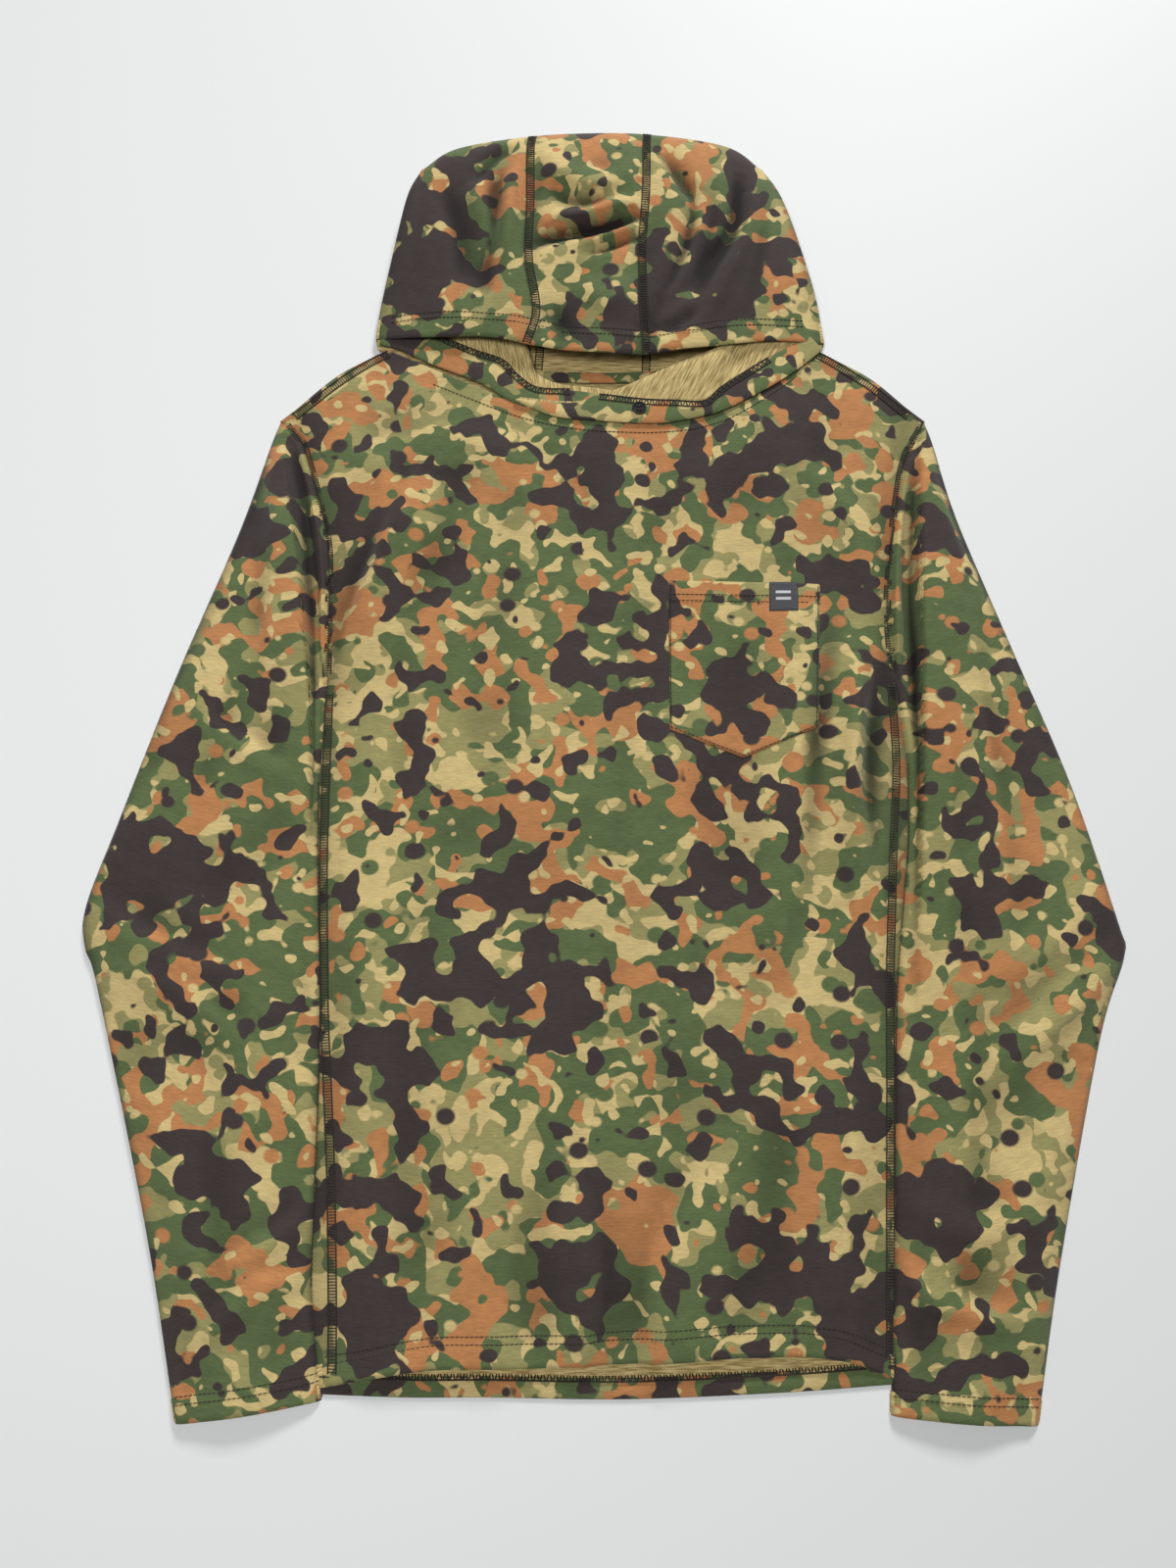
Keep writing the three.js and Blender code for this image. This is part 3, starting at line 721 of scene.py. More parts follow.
def neckLine(front, count):
    sx, sy = bodyPlan["shoulderMiddle"]
    n = bodyPlan["neckSide"]
    x = np.linspace(-n, n, 120)
    neck = np.stack([x, backNeckY(x)], axis=1)
    if front:
        neck = smoothLine([(-n, 293)] + bodyPlan["frontNeck"] + [(n, 293)], 120)
    left = smoothLine([bodyPlan["leftArmhole"][0], (-sx, sy), (-n, 293)], 40)
    right = smoothLine([(n, 293), (sx, sy), bodyPlan["rightArmhole"][0]], 40)
    return evenly(np.vstack([left, neck[1:], right[1:]]), count)


def frontHeight(x, y):
    # down at the side seams and shoulders, up at the neck where the hood's crossed front lies
    left, right = (np.interp(y, *bodyPlan[word]) for word in ("leftReach", "rightReach"))
    edge = np.where(x < 0, left, right) - np.abs(x)
    edge = np.where(y > 28, np.maximum(edge, 6), edge)
    inside = rise(edge, 0, 46)
    top = 1 - 0.75 * rise(y, 235, 300) * rise(np.abs(x), 90, 190)
    level = 1.7 + bodyPlan["rise"] * inside * top + 1.3 * (1 - np.exp(-np.maximum(edge, 0) / 4))
    level += 1.9 * np.exp(-(((x - 22) / 110) ** 2 + ((y - 232) / 45) ** 2))
    moving = inside * (waves(x, y, 3, 150, 0.9) + waves(x, y, 8, 62, 0.5) + 1.8 * folded(x, y, bodyFolds))
    moving *= rise(np.hypot((x - 22) / 2.2, y - 240), 4, 45)
    hem = np.exp(-((y + 440) / 26) ** 2) * (1.0 + waves(x, y * 0.2, 5, 90, 1.5)) * inside
    return np.maximum(level + moving + hem, 1.8)


def bodyGrid(hem, front):
    step = bodyPlan["gridMm" if front else "backGridMm"]
    columns, rows = int(440 / step), int(700 / step)
    return coons(smoothLine(bodyPlan[hem], columns), neckLine(front, columns), bodyEdge(-1, rows),
                 bodyEdge(1, rows))


def makeBody():
    plan = bodyGrid("frontHem", True)
    x, y = plan[..., 0], plan[..., 1]
    hemMm = bodyPlan["hemMm"]
    height = frontHeight(x, y) + 0.45 * (1 - rise(y - y[:1], hemMm - 1, hemMm + 1.5))
    grid, uv = turnedHem(np.dstack([x, y, height]), plan, hemMm, 1.8, -1)
    front = clothSheet("bodyFront", [(grid, uv)], "torso", ["body_front"])
    plan = bodyGrid("backHem", False)
    x, y = plan[..., 0], plan[..., 1]
    height = 0.2 + 0.3 * np.clip(0.5 + waves(x, y, 11, 120, 0.5), 0, 1)
    grid = np.dstack([x, y, height])[:, ::-1]
    back = clothSheet("bodyBack", [(grid, spun(plan, 0, 900, 100)[:, ::-1])], "torso", ["body_back"])
    # the turned-up back hem: the print shows again on the inside of the back
    line = smoothLine(bodyPlan["backHem"], 120)
    profile = ((0.0, 1.5), (0.8, 2.1), (6.0, 2.2), (12.0, 2.1), (12.8, 1.5))
    band = np.stack([np.column_stack([line[:, 0], line[:, 1] + up, np.full(len(line), z)]) for up,
                     z in profile])
    clothSheet("backHemBand", [(band, band[..., :2] + (400, 700))], "torso", [], thickness=0.5,
               skins=[jerseyOut, jerseyOut])
    return front, back


bodyFront, bodyBack = makeBody()
print("body ready")


sleevePlan = {
    "leftOuter": [(-246, 234), (-252, 216), (-273, 143), (-312, 32), (-346, -76), (-364, -136),
                  (-362, -165), (-351, -193),
                  (-305, -354), (-278, -469)],
    "leftInner": [(-201, 25), (-203, -48), (-200, -119), (-195.5, -187), (-193.5, -253), (-193, -318),
                  (-192.5, -385),
                  (-184, -455)],
    "rightOuter": [(247, 234), (253, 214), (267, 155), (301, 55), (336, -47), (362, -148), (364, -170),
                   (342, -227),
                   (303, -373), (281, -470)],
    "rightInner": [(213, 31), (219, -34), (216, -91), (210.5, -132), (203.5, -187), (198.5, -253),
                   (194, -330),
                   (186, -464)],
    "leftBend": ((-0.202, 0.03, 0), (-0.366, -0.26, 0)),
    "rightBend": ((0.213, 0.035, 0), (0.372, -0.255, 0)),
    "lift": 4.4,
    "edgeMm": 4.6,
    "joinMm": 6,
    "leanMm": 5,  # how far the pleat leans over its hollow
    "columns": 58,
    "rows": 240,
    "hemMm": 14,
}
sleeveFolds = {
    # the first of each is the pleat beside the armhole, the second the hollow that it leaves
    -1: [
        (((-243, 226), (-238, 180), (-232, 140), (-225, 90), (-219, 40), (-213, -20), (-209, -90)), 6.2, 3,
         20),
        (((-236, 214), (-227, 180), (-220, 140), (-214, 95), (-210, 50), (-207, 5)), -7.5, 6, 5),
        (((-247, 215), (-243, 150), (-241, 80), (-243, 10)), 2.6, 9, 6),
        (((-258, 130), (-290, 20), (-318, -70)), 2.4, 20, 14),
        (((-293, 1), (-264, -20), (-214, -52)), 3.0, 8, 14),
        (((-361, -133), (-317, -160), (-254, -187)), 3.8, 9, 18),
        (((-356, -180), (-300, -190), (-230, -240)), 2.8, 10, 16),
        (((-210, -90), (-225, -200), (-215, -330)), 2.4, 14, 18),
        (((-330, -250), (-290, -300), (-270, -400)), 2.6, 14, 16),
        (((-249, -377), (-205, -347), (-188, -341)), 3.4, 7, 12),
        (((-262, -420), (-225, -385), (-190, -380)), 3.0, 7, 11),
        (((-240, 60), (-262, -40), (-300, -120)), 2.2, 16, 18),
    ],
    1: [
        (((243, 220), (241, 160), (238, 100), (236, 40), (231, -60), (219, -180)), 6.0, 20, 3),
        (((238, 206), (231, 160), (226, 100), (226, 40), (224, -20)), -7.5, 5, 6),
        (((247, 200), (262, 90), (266, 0), (272, -110), (270, -220)), 3.4, 9, 14),
        (((264, 160), (284, 60), (300, -40)), 2.2, 14, 16),
        (((360, -170), (312, -213), (262, -252)), 4.0, 9, 16),
        (((350, -120), (300, -170), (250, -190)), 3.0, 9, 18),
        (((232, -230), (228, -320), (214, -420)), 2.8, 12, 16),
        (((320, -260), (290, -330), (280, -420)), 2.6, 14, 14),
        (((193, -371), (220, -395), (277, -407)), 3.2, 8, 10),
        (((200, -330), (240, -350), (292, -340)), 2.4, 10, 12),
    ],
}


def makeSleeve(side):
    s = sleevePlan
    word = "left" if side < 0 else "right"
    outer = smoothLine(s[word + "Outer"], 400)
    inner = smoothLine(s[word + "Inner"], 400)
    spread = np.linspace(0, 1, s["columns"])
    spread = 0.55 * spread + 0.45 * (0.5 - 0.5 * np.cos(np.pi * spread))  # closer columns at the folded edges
    cap = evenly(armhole(side, 200), spread if side < 0 else 1 - spread[::-1])
    cuff = evenly([outer[-1], inner[-1]], spread if side < 0 else 1 - spread[::-1])
    along = 1 - (1 - np.linspace(0, 1, s["rows"])) ** 1.35  # closer rows beside the armhole
    outerUp, innerUp = evenly(outer[::-1], along), evenly(inner[::-1], along)
    if side > 0:
        cap, cuff = cap[::-1], cuff[::-1]
        left, right = innerUp, outerUp
    else:
        left, right = outerUp, innerUp
    plan = coons(cuff, cap, left, right, spread, along)
    x, y = plan[..., 0], plan[..., 1]
    edge = np.minimum(toLine(x, y, outer)[0], toLine(x, y, inner)[0])
    fromArmhole = toLine(x, y, armhole(side, 200))[0]
    low = 1.1
    top = low + s["edgeMm"] * (1 - np.exp(-edge / 2.2)) + s["lift"] * rise(edge, 0, 42)
    move = waves(x, y, 21 + side, 130, 0.9) + waves(x, y, 31 + side, 48, 0.45)
    move += 1.6 * folded(x, y, sleeveFolds[side])
    top = np.maximum(top + move * rise(edge, 1, 12), low + 1.2 * (1 - np.exp(-edge / 1.8)))
    joined = 1 - rise(fromArmhole, 0, s["joinMm"])
    top = top * (1 - joined) + frontHeight(x, y) * joined
    under = 0.12 + (low - 0.12) * np.exp(-edge / 0.9)
    top[:, [0, -1]] = low
    under[:, [0, -1]] = low
    hemStep = 0.4 * (1 - rise(np.linalg.norm(plan - plan[:1], axis=2), s["hemMm"] - 1, s["hemMm"] + 1.5))
    top[:, 1:-1] += hemStep[:, 1:-1]
    grain = -11 if side < 0 else 12
    lean = leaned(x, y, sleeveFolds[side][:1], s["leanMm"]) * rise(np.minimum(edge, fromArmhole), 2, 8)[...,
                                                                                                        None]
    upper = turnedHem(np.dstack([x + lean[..., 0], y + lean[..., 1], top]),
                      spun(plan, -grain, side * 700, 1500), s["hemMm"], 1.5, -1)
    lower = turnedHem(np.dstack([x, y, under]), spun(plan, -grain, side * 1300, 1500), s["hemMm"], 1.2, 1)
    bend = ("torso", word + "_arm", *s[word + "Bend"])
    return clothSheet(word + "Sleeve", [upper, lower], None, [word + "_sleeve"],
                      blend=bend)


leftSleeve = makeSleeve(-1)
rightSleeve = makeSleeve(1)
print("sleeves ready")


hoodPlan = {
    "hem": [(-174.6, 302), (-122, 298), (-84, 296), (-40, 286), (-3, 281.5), (34, 281.5), (79, 288),
            (131, 296),
            (172, 298)],
    "left": [(-174.6, 302), (-171, 332), (-160, 390), (-152, 424), (-142, 443)],
    "right": [(172, 298), (166, 340), (152, 392), (140, 424), (127, 443)],
    "crown": [(-142, 443), (-114, 462), (-56, 472), (-10, 475), (36, 474), (98, 464), (127, 443)],
    "seams": {"left": [(-57, 291), (-50, 317), (-56, 358), (-55, 400), (-55, 449), (-54, 466)],
              "right": [(34, 283), (32, 317), (31, 366), (34, 410), (35, 451), (36, 468)]},
    "innerSeams": {"left": [(-49, 277), (-48, 300), (-50, 330)],
                   "right": [(34, 274), (35, 300), (36, 330)]},
    "edgeHeight": (5.0, 9.0, 15.0),  # at the mouth, halfway and at the crown
    "hemMm": 16,
    "columns": 130,
    "rows": 78,
}
hoodFolds = [
    (((-62, 456), (-77, 429), (-85, 391), (-89, 350), (-86, 325)), -6.5, 7, 12),
    (((-101, 425), (-89, 388), (-92, 352)), 4.0, 7, 9),
    (((-72, 440), (-72, 400), (-74, 350)), 4.0, 8, 6),
    (((-66, 456), (-85, 443), (-103, 420)), -3.5, 5, 6),
    (((-123, 422), (-110, 383), (-107, 340)), -3.5, 12, 8),
    (((-140, 425), (-136, 380), (-138, 330)), 2.4, 8, 10),
    (((33, 393), (3, 381), (-26, 377), (-53, 368)), -7.0, 5, 8),
    (((33, 398), (10, 396), (-14, 388), (-40, 386)), 5.0, 5, 7),
    (((33, 378), (12, 368), (-10, 361)), -4.0, 4, 5),
    (((30, 384), (8, 374), (-20, 366)), 3.5, 4, 4),
    (((-53, 458), (-34, 428), (-6, 416), (14, 420), (29, 448)), 4.0, 12, 10),
    (((-44, 412), (-18, 402), (16, 408)), -3.0, 7, 8),
    (((44, 450), (62, 421), (72, 402), (62, 358), (38, 308)), -7.0, 9, 6),
    (((73, 423), (76, 383), (62, 345), (44, 318)), 4.5, 5, 7),
    (((84, 420), (84, 385), (72, 350), (56, 318)), -4.0, 6, 5),
    (((107, 436), (101, 391), (84, 356), (67, 316)), -6.0, 10, 6),
    (((118, 420), (112, 380), (96, 345), (84, 315)), 4.0, 7, 8),
    (((128, 408), (122, 360), (112, 318)), -2.5, 8, 8),
    (((75, 321), (59, 306), (42, 299)), -3.0, 5, 5),
    (((-20, 335), (4, 322), (24, 334)), 3.0, 12, 10),
    (((-40, 320), (-30, 300), (-34, 288)), -2.0, 8, 8),
]


def hoodLift(u, v):
    across = np.clip(1 - np.abs(2 * u - 1) ** 2.6, 0, 1) ** 0.85
    along = (16 + 12 * v) * np.clip(1 - v ** 6, 0, 1) ** 0.7
    return across * along


def makeHood():
    h = hoodPlan
    columns, rows = h["columns"], h["rows"]
    spread = np.linspace(0, 1, columns)
    spread = 0.6 * spread + 0.4 * (0.5 - 0.5 * np.cos(np.pi * spread))
    along = np.linspace(0, 1, rows)
    along = along ** 0.9 * 0.55 + 0.45 * np.sin(along * np.pi / 2)  # closer rows at the crown
    left, right = (evenly(smoothLine(h[k], 200), along) for k in ("left", "right"))
    crown = evenly(smoothLine(h["crown"], 300), spread)
    u, v = spread[None, :], along[:, None]

    plan = coons(evenly(smoothLine(h["hem"], 300), spread), crown, left, right, spread, along)
    x, y = plan[..., 0], plan[..., 1]
    lift = hoodLift(u, v)
    ease = np.clip(lift / 14, 0, 1) * rise(1 - v, 0, 0.12)
    rim = np.interp(v, [0, 0.5, 1], h["edgeHeight"])
    top = rim + lift + ease * (waves(x, y, 41, 70, 1.0) + 1.45 * folded(x, y, hoodFolds))
    for seam in h["seams"].values():
        distance = toLine(x, y, smoothLine(seam, 120))[0]
        top -= ease * (2.2 * np.exp(-(distance / 8) ** 2) - 1.2 * np.exp(-(distance / 3.2) ** 2))
    hemStep = 1 - rise(y - np.interp(x, x[0], y[0]), h["hemMm"] - 1, h["hemMm"] + 1)
    top += 0.5 * hemStep * ease
    top[:, [0, -1]] = rim
    top[-1] = rim[-1]
    flatUpper = spun(plan, 0, -900, -300)
    flatUpper[..., 1] = flatUpper[..., 1] + 0.4 * lift * v
    upper = turnedHem(np.dstack([x, y, top]), flatUpper, h["hemMm"], 1.8, -1)
    footX = np.interp(spread, [0, 1], [h["hem"][0][0], h["hem"][-1][0]])
    footY = backNeckY(footX)
    footY[[0, -1]] = h["hem"][0][1], h["hem"][-1][1]
    plan = coons(np.stack([footX, footY], axis=1), crown, left, right, spread, along)
    edge = np.minimum(np.minimum(u, 1 - u) * 330, (1 - v) * 180)
    under = 1.3 + (rim - 1.3) * np.exp(-edge / 7)
    under[:, [0, -1]] = rim
    under[-1] = rim[-1]
    lower = np.dstack([plan[..., 0], plan[..., 1], under])
    bend = ("torso", "hood", (0, 0.291, 0.001), (0, 0.301, 0.021))
    return clothSheet("hood", [upper, (lower, spun(plan, 0, -1500, -300))], None,
                      ["hood_centre_panel", "hood_left_panel", "hood_right_panel"],
                      blend=bend), bend


hood, hoodBend = makeHood()
print("hood ready")


neckPlan = {
    "rightFoot": [(-66, 247), (-37, 234), (-3, 230), (26, 228), (49, 228.5), (72, 233), (92, 239),
                  (122, 255),
                  (150, 274), (170, 291)],
    "rightLadder": [(-64, 248.5), (-37, 245), (-17, 245), (-1, 251), (31, 247), (53, 246), (78, 246),
                    (92, 258),
                    (106, 268), (128, 283), (160, 303)],
    "rightTop": [(-62, 250), (-36, 246.5), (-16, 246.5), (-1, 252.5), (12, 256), (33, 265), (58, 276),
                 (107, 297),
                 (122, 304), (140, 308), (160, 309)],
    "leftFoot": [(-172, 297), (-158, 293), (-130, 279), (-93, 263), (-66, 246), (-30, 236), (10, 236)],
    "leftLadder": [(-168, 309), (-150, 309), (-128, 304), (-98, 290), (-77, 282), (-66, 270), (-50, 258),
                   (-25, 256), (10, 251)],
    "leftTop": [(-150, 318), (-130, 318), (-100, 316), (-75, 310), (-60, 302), (-56, 290), (-50, 272),
                (-34, 262),
                (-4, 258), (14, 254)],
    "columns": 110,
}


def neckBand(word, liftMm):
    n = neckPlan
    foot, ladder, top = (smoothLine(n[word + k], n["columns"]) for k in ("Foot", "Ladder", "Top"))
    base = liftMm + np.zeros(n["columns"])
    rows = []
    for t in (0, 0.04, 0.1, 0.25, 0.4, 0.6, 0.8, 0.95, 1):
        p = foot + (ladder - foot) * t
        rounded = 0.9 * (1 - np.exp(-t * 14)) + 0.8 * math.sin(math.pi * t)
        rows.append(np.column_stack([p, frontHeight(p[:, 0], p[:, 1]) + base - 0.7 + rounded]))
    band = np.stack(rows)
    turned = np.concatenate([band[:1] + (0, 0.6, -0.9), band])
    tilt = 28 if word == "left" else -30
    clothSheet(word + "NeckBand", [(turned, spun(turned, tilt, 250 if word == "left" else 620, -900))],
               "torso",
               [word + "_neck_wrap"], skins=[jerseyOut, jerseyIn])
    # the lining beyond the band climbs towards the hood
    rows = []
    for t in (0, 0.1, 0.25, 0.4, 0.55, 0.7, 0.85, 1):
        p = ladder + (top - ladder) * t
        reach = np.linalg.norm(p - ladder, axis=1)
        start = band[-1, :, 2] - 0.5
        crease = folded(p[:, 0], p[:, 1], liningFolds[word])
        rows.append(np.column_stack([p, start + liningSlope[word] * reach + crease - 0.25 * (t > 0.99)]))
    lining = np.stack(rows)
    flat = spun(lining, 80 if word == "left" else -62, 40, 400)
    clothSheet(word + "HoodLining", [(lining, flat)], "torso", [],
               skins=[jerseyIn, jerseyOut])


liningSlope = {"left": 0.05, "right": 0.12}
liningFolds = {
    "left": [(((-118, 308), (-92, 296), (-66, 284)), 1.8, 5, 5),
             (((-90, 312), (-72, 296), (-58, 274)), -1.6, 4, 4)],
    "right": [(((112, 303), (104, 280), (90, 262)), -3.2, 5, 6),
              (((100, 300), (84, 276), (66, 258)), 2.0, 8, 8)],
}
neckBand("left", 1.3)
neckBand("right", 2.8)


def makeTape():
    x = np.linspace(-66, 60, 60)
    rows = [np.column_stack([x, backNeckY(x) + up, np.full(60, z)])
            for up, z in ((-1.5, 2.6), (-0.8, 3.1), (3, 3.3), (6.6, 3.1), (7.3, 2.6))]
    grid = np.stack(rows)
    clothSheet("neckTape", [(grid, grid[..., :2] + (-300, 900))], "torso", ["neck_tape"],
               thickness=0.5, skins=[jerseyOut, jerseyOut])


makeTape()
print("neck ready")


pocketPlan = {
    "left": [(48, -10), (49, 103)],
    "right": [(155, -8), (160, 100)],
    "foot": [(48, -10), (101, -30), (155, -8)],
    "hemMm": 13,
    "label": ((122, 79), (143, 102)),
    "gapeMm": 1.4,
}


def pocketHeight(x, y):
    p = pocketPlan
    edges = [evenly(p["left"], 200), evenly(p["right"], 200), evenly(p["foot"], 200)]
    edge = np.min([toLine(x, y, line)[0] for line in edges], axis=0)
    gape = p["gapeMm"] * rise(y, 40, 104) * rise(edge, 0, 38)
    hem = 0.35 * rise(y, 88, 89.5)
    return frontHeight(x, y) + 0.35 + 0.95 * (1 - np.exp(-edge / 1.3)) + gape + hem


def makePocket():
    p = pocketPlan
    columns, rows = 60, 64
    top = evenly([p["left"][1], p["right"][1]], columns)
    plan = coons(evenly(p["foot"], columns), top, evenly(p["left"], rows), evenly(p["right"], rows))
    x, y = plan[..., 0], plan[..., 1]
    grid = np.dstack([x, y, pocketHeight(x, y)])
    roll = np.stack([grid[-1] + (0, 0.5, -0.5), grid[-1] + (0, -0.8, -1.1),
                     grid[-1] + (0, -p["hemMm"], -1.1)])
    flat = np.stack([plan[-1] + (0, 1), plan[-1] + (0, 2.2), plan[-1] + (0, 2.2 + p["hemMm"])])
    uv = np.concatenate([plan, flat]) + (330, -1200)
    clothSheet("chestPocket", [(np.concatenate([grid, roll]), uv)], "torso", ["chest_pocket"],
               thickness=0.6)
    (x0, y0), (x1, y1) = p["label"]
    u, v = np.linspace(0, 1, 24), np.linspace(0, 1, 26)
    x, y = np.meshgrid(x0 + (x1 - x0) * u, y0 + (y1 - y0) * v)
    x = x + 0.03 * (y - y0)
    edge = np.minimum(np.minimum(x - x.min(), x.max() - x), np.minimum(y - y0, y1 - y))
    height = pocketHeight(x, np.minimum(y, 98)) + 0.35 + 0.45 * rise(edge, 0, 1.4) - 1.2 * rise(y, 100.6,
                                                                                                102.2)
    clothSheet("pocketLabel", [(np.dstack([x, y, height]), np.dstack([x - x0, y - y0]))], "torso",
               ["pocket_label"], thickness=0.5,
               skins=[labelMaterial, labelMaterial])


makePocket()
print("pocket ready")


stitchKinds = {
    # rows of one kind of seam: sideways shift, pitch, length, thread radius (mm), angle, swing (degrees)
    "flatlock": [(0, 1.9, 5.4, 0.38, 90, 0), (-2.8, 2.3, 2.2, 0.48, 0, 0), (2.8, 2.3, 2.2, 0.48, 0, 0)],
    "cover": [(-2.4, 3.2, 2.5, 0.30, 0, 0), (2.4, 3.2, 2.5, 0.30, 0, 0)],
    "single": [(0, 3.2, 2.5, 0.30, 0, 0)],
    "ladder": [(0, 2.1, 4.6, 0.46, 90, 16), (-2.3, 2.4, 2.3, 0.50, 0, 0), (2.3, 2.4, 2.3, 0.50, 0, 0)],
}


def makeStitchTree():
    tree = bpy.data.node_groups.new("stitchRow", "GeometryNodeTree")
    wanted = [("Line", "NodeSocketGeometry"), ("Shift", "NodeSocketFloat"), ("Pitch", "NodeSocketFloat"),
              ("Length", "NodeSocketFloat"), ("Radius", "NodeSocketFloat"), ("Angle", "NodeSocketFloat"),
              ("Swing", "NodeSocketFloat"), ("Thread", "NodeSocketMaterial")]
    ids = {name: tree.interface.new_socket(name, in_out="INPUT", socket_type=kind).identifier
           for name, kind in wanted}
    tree.interface.new_socket("Stitches", in_out="OUTPUT", socket_type="NodeSocketGeometry")
    start = tree.nodes.new("NodeGroupInput").outputs
    curve = addNode(tree, "GeometryNodeMeshToCurve", {"Mesh": start["Line"]})
    points = addNode(tree, "GeometryNodeResampleCurve",
                     {"Curve": curve.outputs[0], "Length": start["Pitch"]},
                     mode="LENGTH")
    ahead = tree.nodes.new("GeometryNodeInputTangent").outputs[0]
    up = addNode(tree, "GeometryNodeInputNamedAttribute", {"Name": "up"},
                 data_type="FLOAT_VECTOR").outputs[0]
    side = addNode(tree, "ShaderNodeVectorMath", {0: up, 1: ahead}, operation="CROSS_PRODUCT").outputs[0]
    move = addNode(tree, "ShaderNodeVectorMath", {0: side, "Scale": start["Shift"]},
                   operation="SCALE").outputs[0]
    placed = addNode(tree, "GeometryNodeSetPosition", {"Geometry": points.outputs[0], "Offset": move})

    half = addNode(tree, "ShaderNodeMath", {0: start["Length"], 1: 0.5}, operation="MULTIPLY").outputs[0]
    back = addNode(tree, "ShaderNodeMath", {0: half, 1: -1.0}, operation="MULTIPLY").outputs[0]
    thread = addNode(tree, "GeometryNodeCurvePrimitiveLine", {
        "Start": addNode(tree, "ShaderNodeCombineXYZ", {0: back}).outputs[0],
        "End": addNode(tree, "ShaderNodeCombineXYZ", {0: half}).outputs[0],
    })
    bent = addNode(tree, "GeometryNodeResampleCurve", {"Curve": thread.outputs[0], "Count": 5},
                   mode="COUNT")
    where = addNode(tree, "GeometryNodeSplineParameter").outputs["Factor"]
    arch = addNode(tree, "ShaderNodeMath", {
        0: addNode(tree, "ShaderNodeMath", {0: where, 1: math.pi}, operation="MULTIPLY").outputs[0],
    }, operation="SINE").outputs[0]
    # the ends of each stitch dip into the cloth
    lift = addNode(tree, "ShaderNodeMath", {0: arch, 1: start["Radius"]}, operation="MULTIPLY").outputs[0]
    arched = addNode(tree, "GeometryNodeSetPosition", {
        "Geometry": bent.outputs[0], "Offset": addNode(tree, "ShaderNodeCombineXYZ", {2: lift}).outputs[0],
    })
    ring = addNode(tree, "GeometryNodeCurvePrimitiveCircle", {"Resolution": 5, "Radius": start["Radius"]})
    solid = addNode(tree, "GeometryNodeCurveToMesh", {
        "Curve": arched.outputs[0], "Profile Curve": ring.outputs[0], "Fill Caps": True,
    })

    axes = addNode(tree, "FunctionNodeAxesToRotation", {"Primary Axis": up, "Secondary Axis": ahead},
                   primary_axis="Z", secondary_axis="X")
    index = tree.nodes.new("GeometryNodeInputIndex").outputs[0]
    odd = addNode(tree, "ShaderNodeMath", {0: index, 1: 2.0}, operation="FLOORED_MODULO").outputs[0]
    sway = addNode(tree, "ShaderNodeMath", {0: odd, 1: 2.0, 2: -1.0}, operation="MULTIPLY_ADD").outputs[0]
    angle = addNode(tree, "ShaderNodeMath", {0: sway, 1: start["Swing"], 2: start["Angle"]},
                    operation="MULTIPLY_ADD").outputs[0]
    turn = addNode(tree, "FunctionNodeAxisAngleToRotation", {"Axis": (0, 0, 1), "Angle": angle}).outputs[0]
    facing = addNode(tree, "FunctionNodeRotateRotation", {"Rotation": axes.outputs[0], "Rotate By": turn},
                     rotation_space="LOCAL").outputs[0]
    many = addNode(tree, "GeometryNodeInstanceOnPoints", {
        "Points": placed.outputs[0], "Instance": solid.outputs[0], "Rotation": facing,
    })
    real = addNode(tree, "GeometryNodeRealizeInstances", {"Geometry": many.outputs[0]})
    dressed = addNode(tree, "GeometryNodeSetMaterial",
                      {"Geometry": real.outputs[0], "Material": start["Thread"]})
    end = tree.nodes.new("NodeGroupOutput")
    tree.links.new(dressed.outputs[0], end.inputs[0])
    return tree, ids


stitchTree, stitchIds = makeStitchTree()


def onCloth(line, pieces, raiseMm, dropMm):
    # the line dropped onto the first of the pieces below dropMm, with the surface's own direction
    found, directions = [], []
    for x, y in line:
        best = None
        for tree in pieces:
            hit = tree.ray_cast(Vector((x * mm, y * mm, dropMm * mm)), Vector((0, 0, -1)))
            if hit[0] is not None and (best is None or hit[0].z > best[0].z):
                best = hit
        if best:
            normal = best[1] if best[1].z > 0 else -best[1]
            found.append(best[0] + normal * raiseMm * mm)
            directions.append(normal)
    return found, directions


def clothTree(piece):
    shape = bmesh.new()
    shape.from_mesh(piece.data)
    tree = BVHTree.FromBMesh(shape)
    shape.free()
    return tree


def threadOver(found, directions, row):
    shift, pitch, length, radius, angle, swing = row
    mesh = bpy.data.meshes.new("run")
    mesh.from_pydata([tuple(p) for p in found], [(i, i + 1) for i in range(len(found) - 1)], [])
    up = mesh.attributes.new("up", "FLOAT_VECTOR", "POINT")
    up.data.foreach_set("vector", np.array(directions, float).ravel())
    run = bpy.data.objects.new("run", mesh)
    scene.collection.objects.link(run)
    maker = run.modifiers.new("stitches", "NODES")
    maker.node_group = stitchTree
    values = {"Shift": shift * mm, "Pitch": pitch * mm, "Length": length * mm, "Radius": radius * mm,
              "Angle": math.radians(angle), "Swing": math.radians(swing), "Thread": darkThread}
    for name, value in values.items():
        maker[stitchIds[name]] = value
    bpy.context.view_layer.update()
    graph = bpy.context.evaluated_depsgraph_get()
    made = bpy.data.meshes.new_from_object(run.evaluated_get(graph))
    bpy.data.objects.remove(run)
    return made


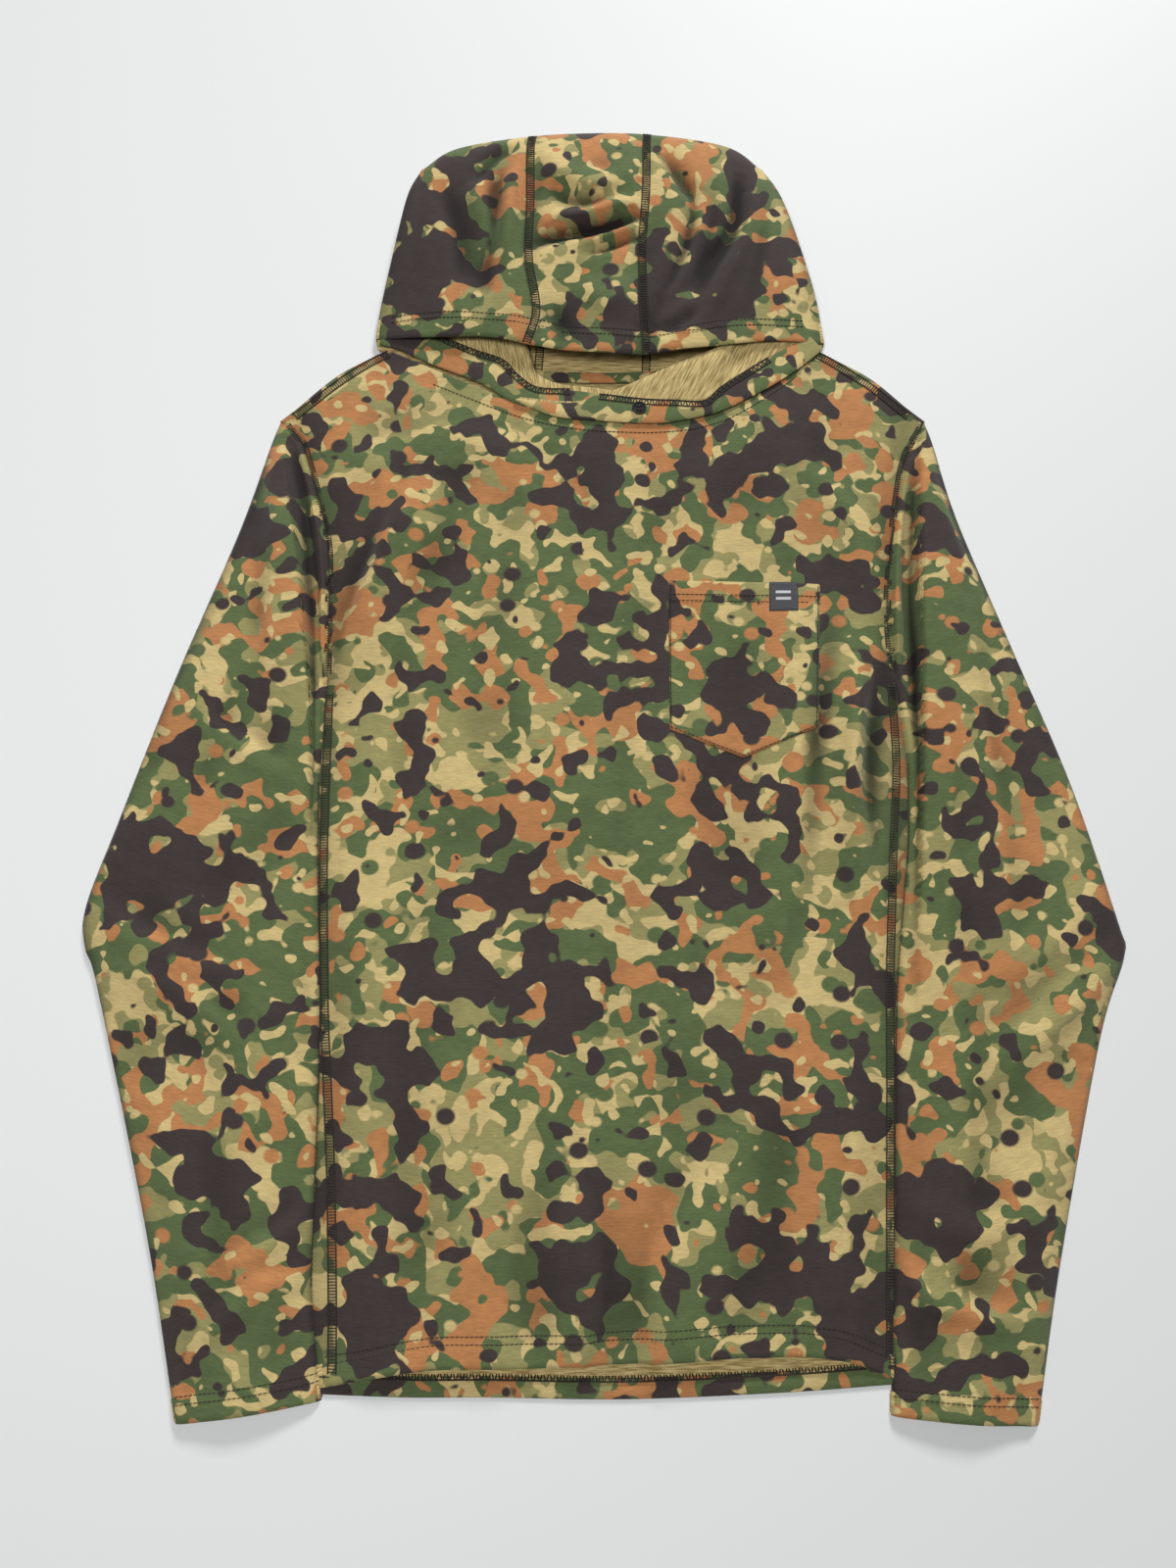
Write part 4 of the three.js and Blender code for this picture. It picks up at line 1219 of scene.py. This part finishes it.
def sew(name, seams, pieces, body, nodes, blend=None, raiseMm=0.05, dropMm=200):
    # seams: kind and line in plan; all of them become one mesh
    trees = [clothTree(piece) for piece in pieces]
    whole = bmesh.new()
    for kind, line in seams:
        found, directions = onCloth(smoothLine(line, max(12, int(lineLength(line) / 2.5))), trees, raiseMm,
                                    dropMm)
        for row in stitchKinds[kind]:
            made = threadOver(found, directions, row)
            whole.from_mesh(made)
            bpy.data.meshes.remove(made)
    mesh = bpy.data.meshes.new(name)
    whole.to_mesh(mesh)
    whole.free()
    mesh.polygons.foreach_set("use_smooth", [True] * len(mesh.polygons))
    mesh.materials.append(darkThread)
    piece = bpy.data.objects.new(name, mesh)
    scene.collection.objects.link(piece)
    if blend:
        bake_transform(piece)
    else:
        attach(piece, body)
    if nodes:
        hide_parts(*nodes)
    return piece


def lineLength(line):
    line = np.array(line, float)
    return np.linalg.norm(np.diff(line, axis=0), axis=1).sum()


def moved(line, dx, dy):
    return [(x + dx, y + dy) for x, y in line]


def sewBody():
    onBody = [bodyFront, leftSleeve, rightSleeve]
    for side, word in ((-1, "left"), (1, "right")):
        sew(word + "ArmholeSeam", [("flatlock", armhole(side, 60)[2::5])], onBody, "torso",
            [word + "_armhole_seam"])
        sew(word + "SideSeam", [("flatlock", bodyPlan[word + "Seam"])], [bodyFront], "torso",
            [word + "_side_seam"])
        shoulder = [(side * 234, 239), (side * 204, 262), (side * 180, 280), (side * 165, 289)]
        sew(word + "ShoulderSeam", [("flatlock", shoulder)], [bodyFront], "torso",
            [word + "_shoulder_seam"])
    hem = moved(bodyPlan["frontHem"], 0, bodyPlan["hemMm"])
    sew("frontHemStitching", [("cover", [(x * 0.97, y) for x, y in hem])], [bodyFront], "torso",
        ["front_hem_stitching"])
    hem = moved(bodyPlan["backHem"], 0, 12.6)
    backBand = bpy.data.objects["backHemBand"]
    sew("backHemStitching", [("ladder", [(x * 0.985, y) for x, y in hem])], [backBand, bodyBack], "torso",
        ["back_hem_stitching"])
    neck = [(-128, 262), (-98, 249), (-74, 239), (-50, 231), (-20, 224.5), (10, 222), (40, 221.5),
            (70, 225), (98, 234),
            (130, 254), (152, 272)]
    sew("neckTopstitching", [("single", neck)], [bodyFront], "torso", ["neck_topstitching"])


def sewSleeves():
    for side, word, sleeve in ((-1, "left", leftSleeve), (1, "right", rightSleeve)):
        bend = ("torso", word + "_arm", *sleevePlan[word + "Bend"])
        inner, outer = sleevePlan[word + "Inner"], sleevePlan[word + "Outer"]
        cuff = evenly([outer[-1], inner[-1]], 8) + (0, sleevePlan["hemMm"])
        cuff[0, 0] += -side * 1.5
        cuff[-1, 0] += side * 3
        sew(word + "CuffStitching", [("cover", cuff)], [sleeve], None, [word + "_cuff_stitching"], bend)
        sew(word + "SleeveSeam", [("single", moved(inner[1:-1], side * 1.2, 0))], [sleeve], None,
            [word + "_sleeve_seam"], bend)


def sewHood():
    for word in ("left", "right"):
        sew("hood" + word.capitalize() + "Seam", [("flatlock", hoodPlan["seams"][word])], [hood], None,
            ["hood_" + word + "_seam"], hoodBend)
        sew("hood" + word.capitalize() + "InnerSeam", [("flatlock", hoodPlan["innerSeams"][word])], [hood],
            None, [],
            hoodBend, dropMm=7)
    hem = [(-161, 316), (-120, 315), (-65, 309), (-33, 303), (-10, 298.5), (31, 297), (67, 301), (99, 308),
           (154, 312)]
    sew("hoodHemStitching", [("cover", hem)], [hood], None, ["hood_hem_stitching"], hoodBend)


def sewNeck():
    band = [bpy.data.objects[name] for name in ("leftNeckBand", "rightNeckBand")]
    left = moved(neckPlan["leftLadder"][2:], 0, -1.6)
    right = moved(neckPlan["rightLadder"], 0, -1.8)
    sew("leftWrapStitching", [("ladder", left[:-1])], band, "torso", ["left_wrap_stitching"])
    sew("rightWrapStitching", [("ladder", right[3:-1])], band, "torso", ["right_wrap_stitching"])


def sewPocket():
    pocket = bpy.data.objects["chestPocket"]
    around = [(50.5, 100), (49.6, 40), (49.4, -8.5)]
    foot = [(49.6, -8.4), (75, -18), (101, -28)], [(101, -28), (128, -17.5), (153.5, -6.6)]
    right = [(153.5, -6.6), (156, 45), (158.5, 97)]
    seams = [("single", line) for line in (around, *foot, right)]
    sew("pocketTopstitching", seams, [pocket], "torso", ["pocket_topstitching"])
    sew("pocketHemStitching", [("cover", [(50, 90.5), (105, 89), (159, 88)])], [pocket], "torso",
        ["pocket_hem_stitching"])


sewBody()
sewSleeves()
sewHood()
sewNeck()
sewPocket()
print("stitching ready")


for name, finish in (("neck_button", buttonMaterial), ("button_thread", darkThread)):
    for spot in frame["nodes"][name].material_slots:
        spot.material = finish

print("flat sizes", json.dumps(flatSizes))
